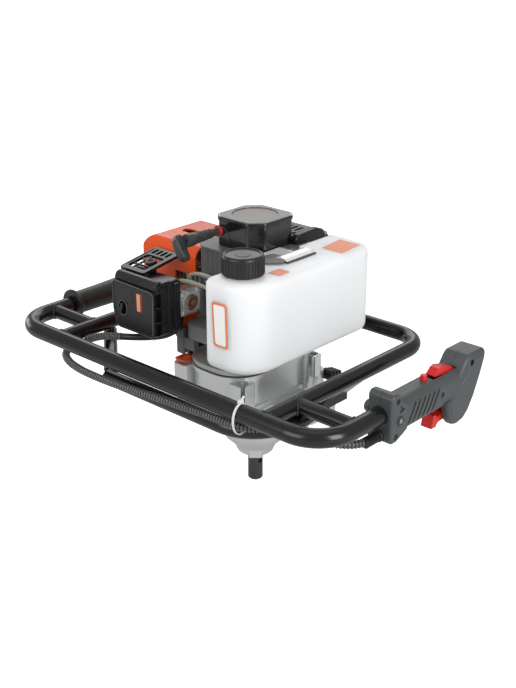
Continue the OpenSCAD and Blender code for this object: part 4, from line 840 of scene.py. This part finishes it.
# Filter grill: a frame with a wide gap round a post, ribs across it and slots at the far end
GRILL = Matrix.Translation(Vector((0, -117.5, 258.7)) * MM) @ Matrix.Rotation(math.radians(9), 4, "X")
grill = oblong("filter_grill", (-101.5, 32, 2), (45, 64, 4), "Z", 0, 4)
gap = plate("gap", "Z", -2, 8, rounded(square(-117, 8, -85, 43), 4))
slots = [oblong("slot", (-113.6 + 8.2 * k, 53, 2), (4.4, 12.4, 8), "Z", 0, 2) for k in range(4)]
groove = oblong("groove", (-120.6, 34, 4.2), (1.6, 50, 2.4), "Z", 0, 0.7)
carve(grill, gap, joined("slots", slots), groove)
ribs = [block("rib", (-118, y - 1.2, 0.4), (-84, y + 1.2, 3)) for y in (19, 33)]
ribs.append(block("rib", (-110, 7, 0.4), (-107.6, 44, 3)))
grill = joined("filter_grill", [soften(grill, 0.6, 3, 40)] + [soften(r, 0.5, 2) for r in ribs])
moved(grill, GRILL)
rest = carve(copy_of("filter_base", "filter_back"), block("above", (-140, -125, 258.4), (-60, -40, 300)))
grill = joined("filter_grill", [grill, soften(rest, 0.7)])
place(grill, "machine", SLOT["filter_base"], M["black_plastic"], "filter_base")
post_profile = [
    (0, -22), (5, -22), (5.4, 1), (7.4, 2), (7.4, 4.6), (6.4, 5.8), (3.4, 5.8), (3, 4.6), (0, 4.6)
]
post = moved(turned("grill_post", post_profile, (-96, 29, 0), "Z", 28), GRILL)
place(post, "machine", SLOT["filter_base"], M["black_rubber"])

# Fan housing: upright flutes round a square with wide corners, between a sill and a brim
FAN, FAN_CORNER = 54, 22
FLUTE_STEP = 1.02
corners = round_cornered(-FAN, -FAN, FAN, FAN, [FAN_CORNER] * 4, 14)
loop = [(x, y, 0) for x, y in corners]
walk = evenly(loop + [loop[0]], FLUTE_STEP)[:-1]
fluted = [(p * (1.012 if (i // 4) % 2 else 0.985)).to_2d() for i, p in enumerate(walk)]
pieces = [plate("fan_shroud", "Z", 249, 40.5, fluted)]
for name, z in (("fan_brim", 288.6), ("fan_sill", 248)):
    pieces.append(soften(plate(name, "Z", z, 3.4, scaled(corners, 1.02)), 1))
place(joined("fan_shroud", pieces), "machine", SLOT["fan_housing"], M["fan_grey"], "fan_housing", angle=30)

# Smooth rounded end of the muffler guard
END_X, END_Z = 33, 287.4
end = block("guard_end", (4, 57.4, 232), (END_X, 114.6, END_Z))
round_edges(end, 11, 6, lambda c, d: c.x > END_X - 0.1 or c.z > END_Z - 0.1)
place(soften(end, 1, 2, 40), "machine", SLOT["muffler_guard"], M["black_plastic"])

# Black arm that stands on the fan housing and runs into the guard's end
ARM = [(26, 288), (26, 300), (32, 303.6), (68, 305), (80, 301), (86, 290), (86, 278), (58, 278), (50, 288)]
ARM_X, ARM_THICK = 36, 9
arm = plate("guard_arm", "X", ARM_X, ARM_THICK, rounded(ARM, 5))
round_edges(arm, 2.4, 4, lambda c, d: c.x > ARM_X + ARM_THICK - 0.1)
web = soften(block("web", (30, 60, 279), (38, 85, 287)), 1)
place(joined("guard_arm", [arm, web]), "machine", SLOT["muffler_guard"], M["deep_black"])

# Cast boss and box under the carburettor
boss = block("crank_boss", (-47, -83, 176), (30, -46, 197))
round_edges(boss, 13, 6, lambda c, d: abs(d.z) > 0.9)
place(soften(boss, 2.2), "machine", SLOT["clutch_housing"], M["engine_dark"])
box = soften(block("side_box", (-60, -84, 152), (-48, -70, 186)), 2)
tab = soften(block("box_tab", (-58, -82, 160), (-30, -73, 176)), 1, 2)
place(joined("side_box", [box, tab]), "machine", SLOT["clutch_housing"], M["fan_grey"])

# Orange skirt beside the boss and orange washer on the front column
SKIRT = [(-46, 200), (-84, 200), (-80, 172), (-70, 152), (-60, 150), (-46, 168)]
skirt = plate("cover_skirt", "X", -61, 3, rounded(SKIRT, 5))
place(soften(skirt, 0.8), "machine", SLOT["cylinder_cover"], M["orange_plastic"])
WASHER = [(-60, -88), (-41, -88), (-41, -71), (-49, -67), (-60, -69)]
washer = plate("column_washer", "Z", 143.4, 3, rounded(WASHER, 3))
carve(washer, drum("washer_hole", (-50, -78, 145), 5.6, 12, sides=28))
place(soften(washer, 0.7, 2), "machine", SLOT["cylinder_cover"], M["orange_plastic"])

# Hollow cast post on the right corner of the gearbox and the ribbed rubber stop on the lug behind it
post = plate("corner_post", "Z", 112, 30, rounded(square(50, 41, 66, 57), 4))
carve(post, plate("post_pocket", "Z", 130, 20, rounded(square(53.4, 44.4, 62.6, 53.6), 2.5)))
place(soften(post, 1), "machine", SLOT["gearbox_upper"], M["post_metal"])
stop = [soften(block("rubber_stop", (54, 66, 101), (72, 92, 108)), 1.5, 2)]
for k in range(4):
    rib = block("stop_rib", (55, 69 + 6 * k, 104), (73, 72.4 + 6 * k, 114 - 1.6 * k))
    stop.append(soften(rib, 1, 2))
place(joined("rubber_stop", stop), "machine", SLOT["gearbox_upper"], M["black_rubber"])

# Rubber strip on the tank, with the rolled lip and the dark shelf of the bracket over it
STRIP = [(86.2, 287), (89.6, 287), (89.6, 299.8), (100, 299.8), (100, 301.6), (86.2, 301.6)]
strip = plate("rubber_strip", "Y", -53, 52, STRIP)
place(soften(strip, 0.5, 2), "machine", SLOT["tank_strip"], M["black_rubber"], "tank_strip")
LIP = [(80, 301), (80, 303.4), (86, 305.2), (93.5, 304.2), (97.2, 302.2), (97.2, 301.2)]
lip = plate("bracket_lip", "Y", -51.5, 49, rounded(LIP, 1.2))
place(soften(lip, 0.4, 2), "machine", SLOT["tank_bracket"], M["zinc"], angle=50)
SHELF = [(62, -56), (66, -40), (84, -38), (97, -57), (84, -72), (80, -72)]
shelf = plate("bracket_shelf", "Z", 299.7, 2.6, rounded(SHELF, 3))
place(soften(shelf, 0.7, 2), "machine", SLOT["tank_bracket"], M["fan_grey"])

# Carburettor cover: a bright square plate with a raised middle, four screws and a brass adjuster
CX, CY, CZ = -46, -74, 223


def carb_layer(name, start, thick, half, inner):
    """A square layer of the cover with cut and rounded corners."""
    corners = rounded(eight_sided(half, inner), 3)
    return plate(name, "X", start, thick, [(CY + y, CZ + z) for y, z in corners])


base = carb_layer("carb_plate", CX, 3.4, 17, 13)
top = carb_layer("carb_top", CX + 3, 3, 15, 6)
pieces = [soften(base, 0.7), soften(top, 1)]
bolt_profile = [(0, 0), (3.2, 0), (3.2, 1.2), (2.2, 2.2), (0, 2.4)]
for y in (CY - 12, CY + 12):
    for z in (CZ - 12, CZ + 12):
        bolt = turned("bolt", bolt_profile, (CX + 3.2, y, z), "X", 16)
        pieces.append(carve(bolt, oblong("slot", (CX + 5.6, y, z), (1.6, 0.9, 5))))
place(joined("carb_plate", pieces), "machine", SLOT["carb_cover"], M["post_metal"], "carb_cover")
adjuster_profile = [
    (0, 0), (10, 0), (10, 1.6), (9, 2.6), (6.4, 2.6), (5.6, 1.6), (4.6, 1.6), (4.4, 4), (3.4, 5), (0, 5)
]
adjuster = turned("adjuster", adjuster_profile, (CX + 5.8, CY, CZ), "X", 32)
place(adjuster, "machine", SLOT["carb_cover"], M["brass"])

# Two amber fuel hoses between the carburettor and the tank
FEED = [
    (-52, -66, 239), (-52, -66, 247), (-48, -67, 255), (-36, -69, 260), (-15, -74, 264), (10, -79, 265),
    (38, -80, 263), (50, -80, 262), (63, -80, 262)
]
RETURN = [
    (-51, -89, 236), (-51, -89, 246), (-47, -89, 252.5), (-36, -89, 256), (-12, -89, 257), (14, -92, 256),
    (40, -92, 252), (62, -92, 250)
]
for name, points, radius, stands_for in (
    ("feed_hose", FEED, 2.6, ["fuel_line"]),
    ("return_hose", RETURN, 2.4, []),
):
    run = evenly(points, 3)
    hose = tube(name, run, [radius] * len(run))
    place(hose, "machine", SLOT["fuel_line"], M["clear_hose"], *stands_for, angle=60)


# Weld beads where the frame tubes meet, on the line where each pair of tubes crosses
def saddle(radius, other, steps=72):
    """Points (side, out, up) round a tube that ends on the surface of another one across it."""
    spots = []
    for side, up in ellipse(0, 0, radius, radius, steps):
        spots.append((side, math.sqrt(max(0.2, other ** 2 - up * up)), up))
    return spots


def weld(name, spots):
    radii = [1.4 + 0.35 * math.sin(1.9 * k) + 0.15 * math.sin(5.3 * k) for k in range(len(spots))]
    place(tube(name, spots, radii, 8, closed=True), "machine", SLOT["cross_tubes"], M["weld"], angle=60)


RAIL_RADIUS, PRONG_RADIUS = 10, 11
for s, side_name in ((-1, "left"), (1, "right")):
    for start, away, other in ((RAIL_X, 1, RAIL_RADIUS), (PRONG_X, -1, PRONG_RADIUS)):
        crossing = saddle(9.6, other)
        ring = [(s * (start + away * out), CROSS_Y + side, BAR_Z + up) for side, out, up in crossing]
        weld("cross_weld_%s_%d" % (side_name, start), ring)
    crossing = saddle(10.1, PRONG_RADIUS)
    ring = [(s * RAIL_X + side, BAR_Y + out, BAR_Z + up) for side, out, up in crossing]
    weld("rail_weld_%s" % side_name, ring)

# Bare patches on the tank: a bordered one on its front and two plain ones on top
FRONT = TY0 - 0.3
BORDER = [(74.5, 221), (97, 221), (95.4, 275.4), (72, 274.5)]
FIELD = [(77.6, 224), (94, 224), (92.6, 272.4), (75.2, 271.6)]
REAR = [(91, 20), (121.5, 20), (118.5, 61), (86, 61)]
border = faced("label_border", BORDER, FRONT, TY0 + 1, 4.5, 0.15)
place(border, "machine", "orange_plastic", M["label_orange"])
field = faced("label_field", FIELD, FRONT - 0.15, TY0 + 0.5, 3, 0.08)
place(field, "machine", "tank_plastic", M["label_white"])
for name, points in (("rear_patch", REAR), ("small_patch", rounded(square(104, -92, 120.5, -72), 2))):
    patch = soften(plate(name, "Z", TZ1 - 0.5, 0.75, points), 0.15, 2)
    place(patch, "machine", "orange_plastic", M["label_orange"])


# Floor and backdrop, which the camera sees white and which light the object plainly
def shown(tree):
    """One for rays from the camera or through the hoses, and nought for the rest."""
    path = tree.nodes.new("ShaderNodeLightPath")
    return math_node(tree, "MAXIMUM", path.outputs["Is Camera Ray"], path.outputs["Is Transmission Ray"])


FLOOR_GLOW, ROOM_LIGHT = 0.8, 0.46
clear()
bpy.ops.mesh.primitive_plane_add(size=30, location=(0, 0, cad_box[0][2] - 0.0005))
floor = named("floor")
pale = bpy.data.materials.new("pale_floor")
pale.use_nodes = True
tree = pale.node_tree
matt = tree.nodes["Principled BSDF"]
matt.inputs["Roughness"].default_value = 0.9
matt.inputs["Specular IOR Level"].default_value = 0.1
where = tree.nodes.new("ShaderNodeTexCoord")
clouds = noise(tree, where.outputs["Object"], 3, 2, 0.55)
colour = mixed(tree, clouds, (0.68, 0.68, 0.68, 1), (0.73, 0.73, 0.73, 1))
tree.links.new(colour, matt.inputs["Base Color"])
glow = tree.nodes.new("ShaderNodeEmission")
glow.inputs["Strength"].default_value = FLOOR_GLOW
glowing = tree.nodes.new("ShaderNodeAddShader")
tree.links.new(matt.outputs["BSDF"], glowing.inputs[0])
tree.links.new(glow.outputs["Emission"], glowing.inputs[1])
either = tree.nodes.new("ShaderNodeMixShader")
tree.links.new(shown(tree), either.inputs["Fac"])
tree.links.new(matt.outputs["BSDF"], either.inputs[1])
tree.links.new(glowing.outputs["Shader"], either.inputs[2])
tree.links.new(either.outputs["Shader"], tree.nodes["Material Output"].inputs["Surface"])
floor.data.materials.append(pale)

world = bpy.data.worlds.new("studio")
scene.world = world
world.use_nodes = True
room = world.node_tree
back = room.nodes["Background"]
back.inputs["Color"].default_value = (1, 1, 1, 1)
room.links.new(ranged(room, shown(room), 0, 1, ROOM_LIGHT, 1), back.inputs["Strength"])


# Lamps, in metres and watts
def lamp(name, spot, aim, size, watts):
    light = bpy.data.lights.new(name, "AREA")
    light.shape = "RECTANGLE"
    light.size, light.size_y = size
    light.energy = watts
    lamp_object = bpy.data.objects.new(name, light)
    scene.collection.objects.link(lamp_object)
    lamp_object.location = spot
    lamp_object.rotation_euler = (Vector(aim) - Vector(spot)).to_track_quat("-Z", "Y").to_euler()


lamp("top_light", (0.1, 0.0, 1.8), (0, 0, 0.2), (1.3, 1.1), 2)
lamp("front_light", (-0.3, -2.0, 1.0), (0, 0, 0.2), (1.5, 1.2), 15)
lamp("right_light", (1.7, -0.3, 0.8), (0.1, 0, 0.2), (0.7, 1.2), 19)
lamp("back_light", (-1.1, 1.2, 1.15), (0, 0, 0.25), (1.7, 0.8), 7)
lamp("left_fill", (-1.8, -0.25, 0.42), (0, 0, 0.2), (1.0, 0.6), 4.5)
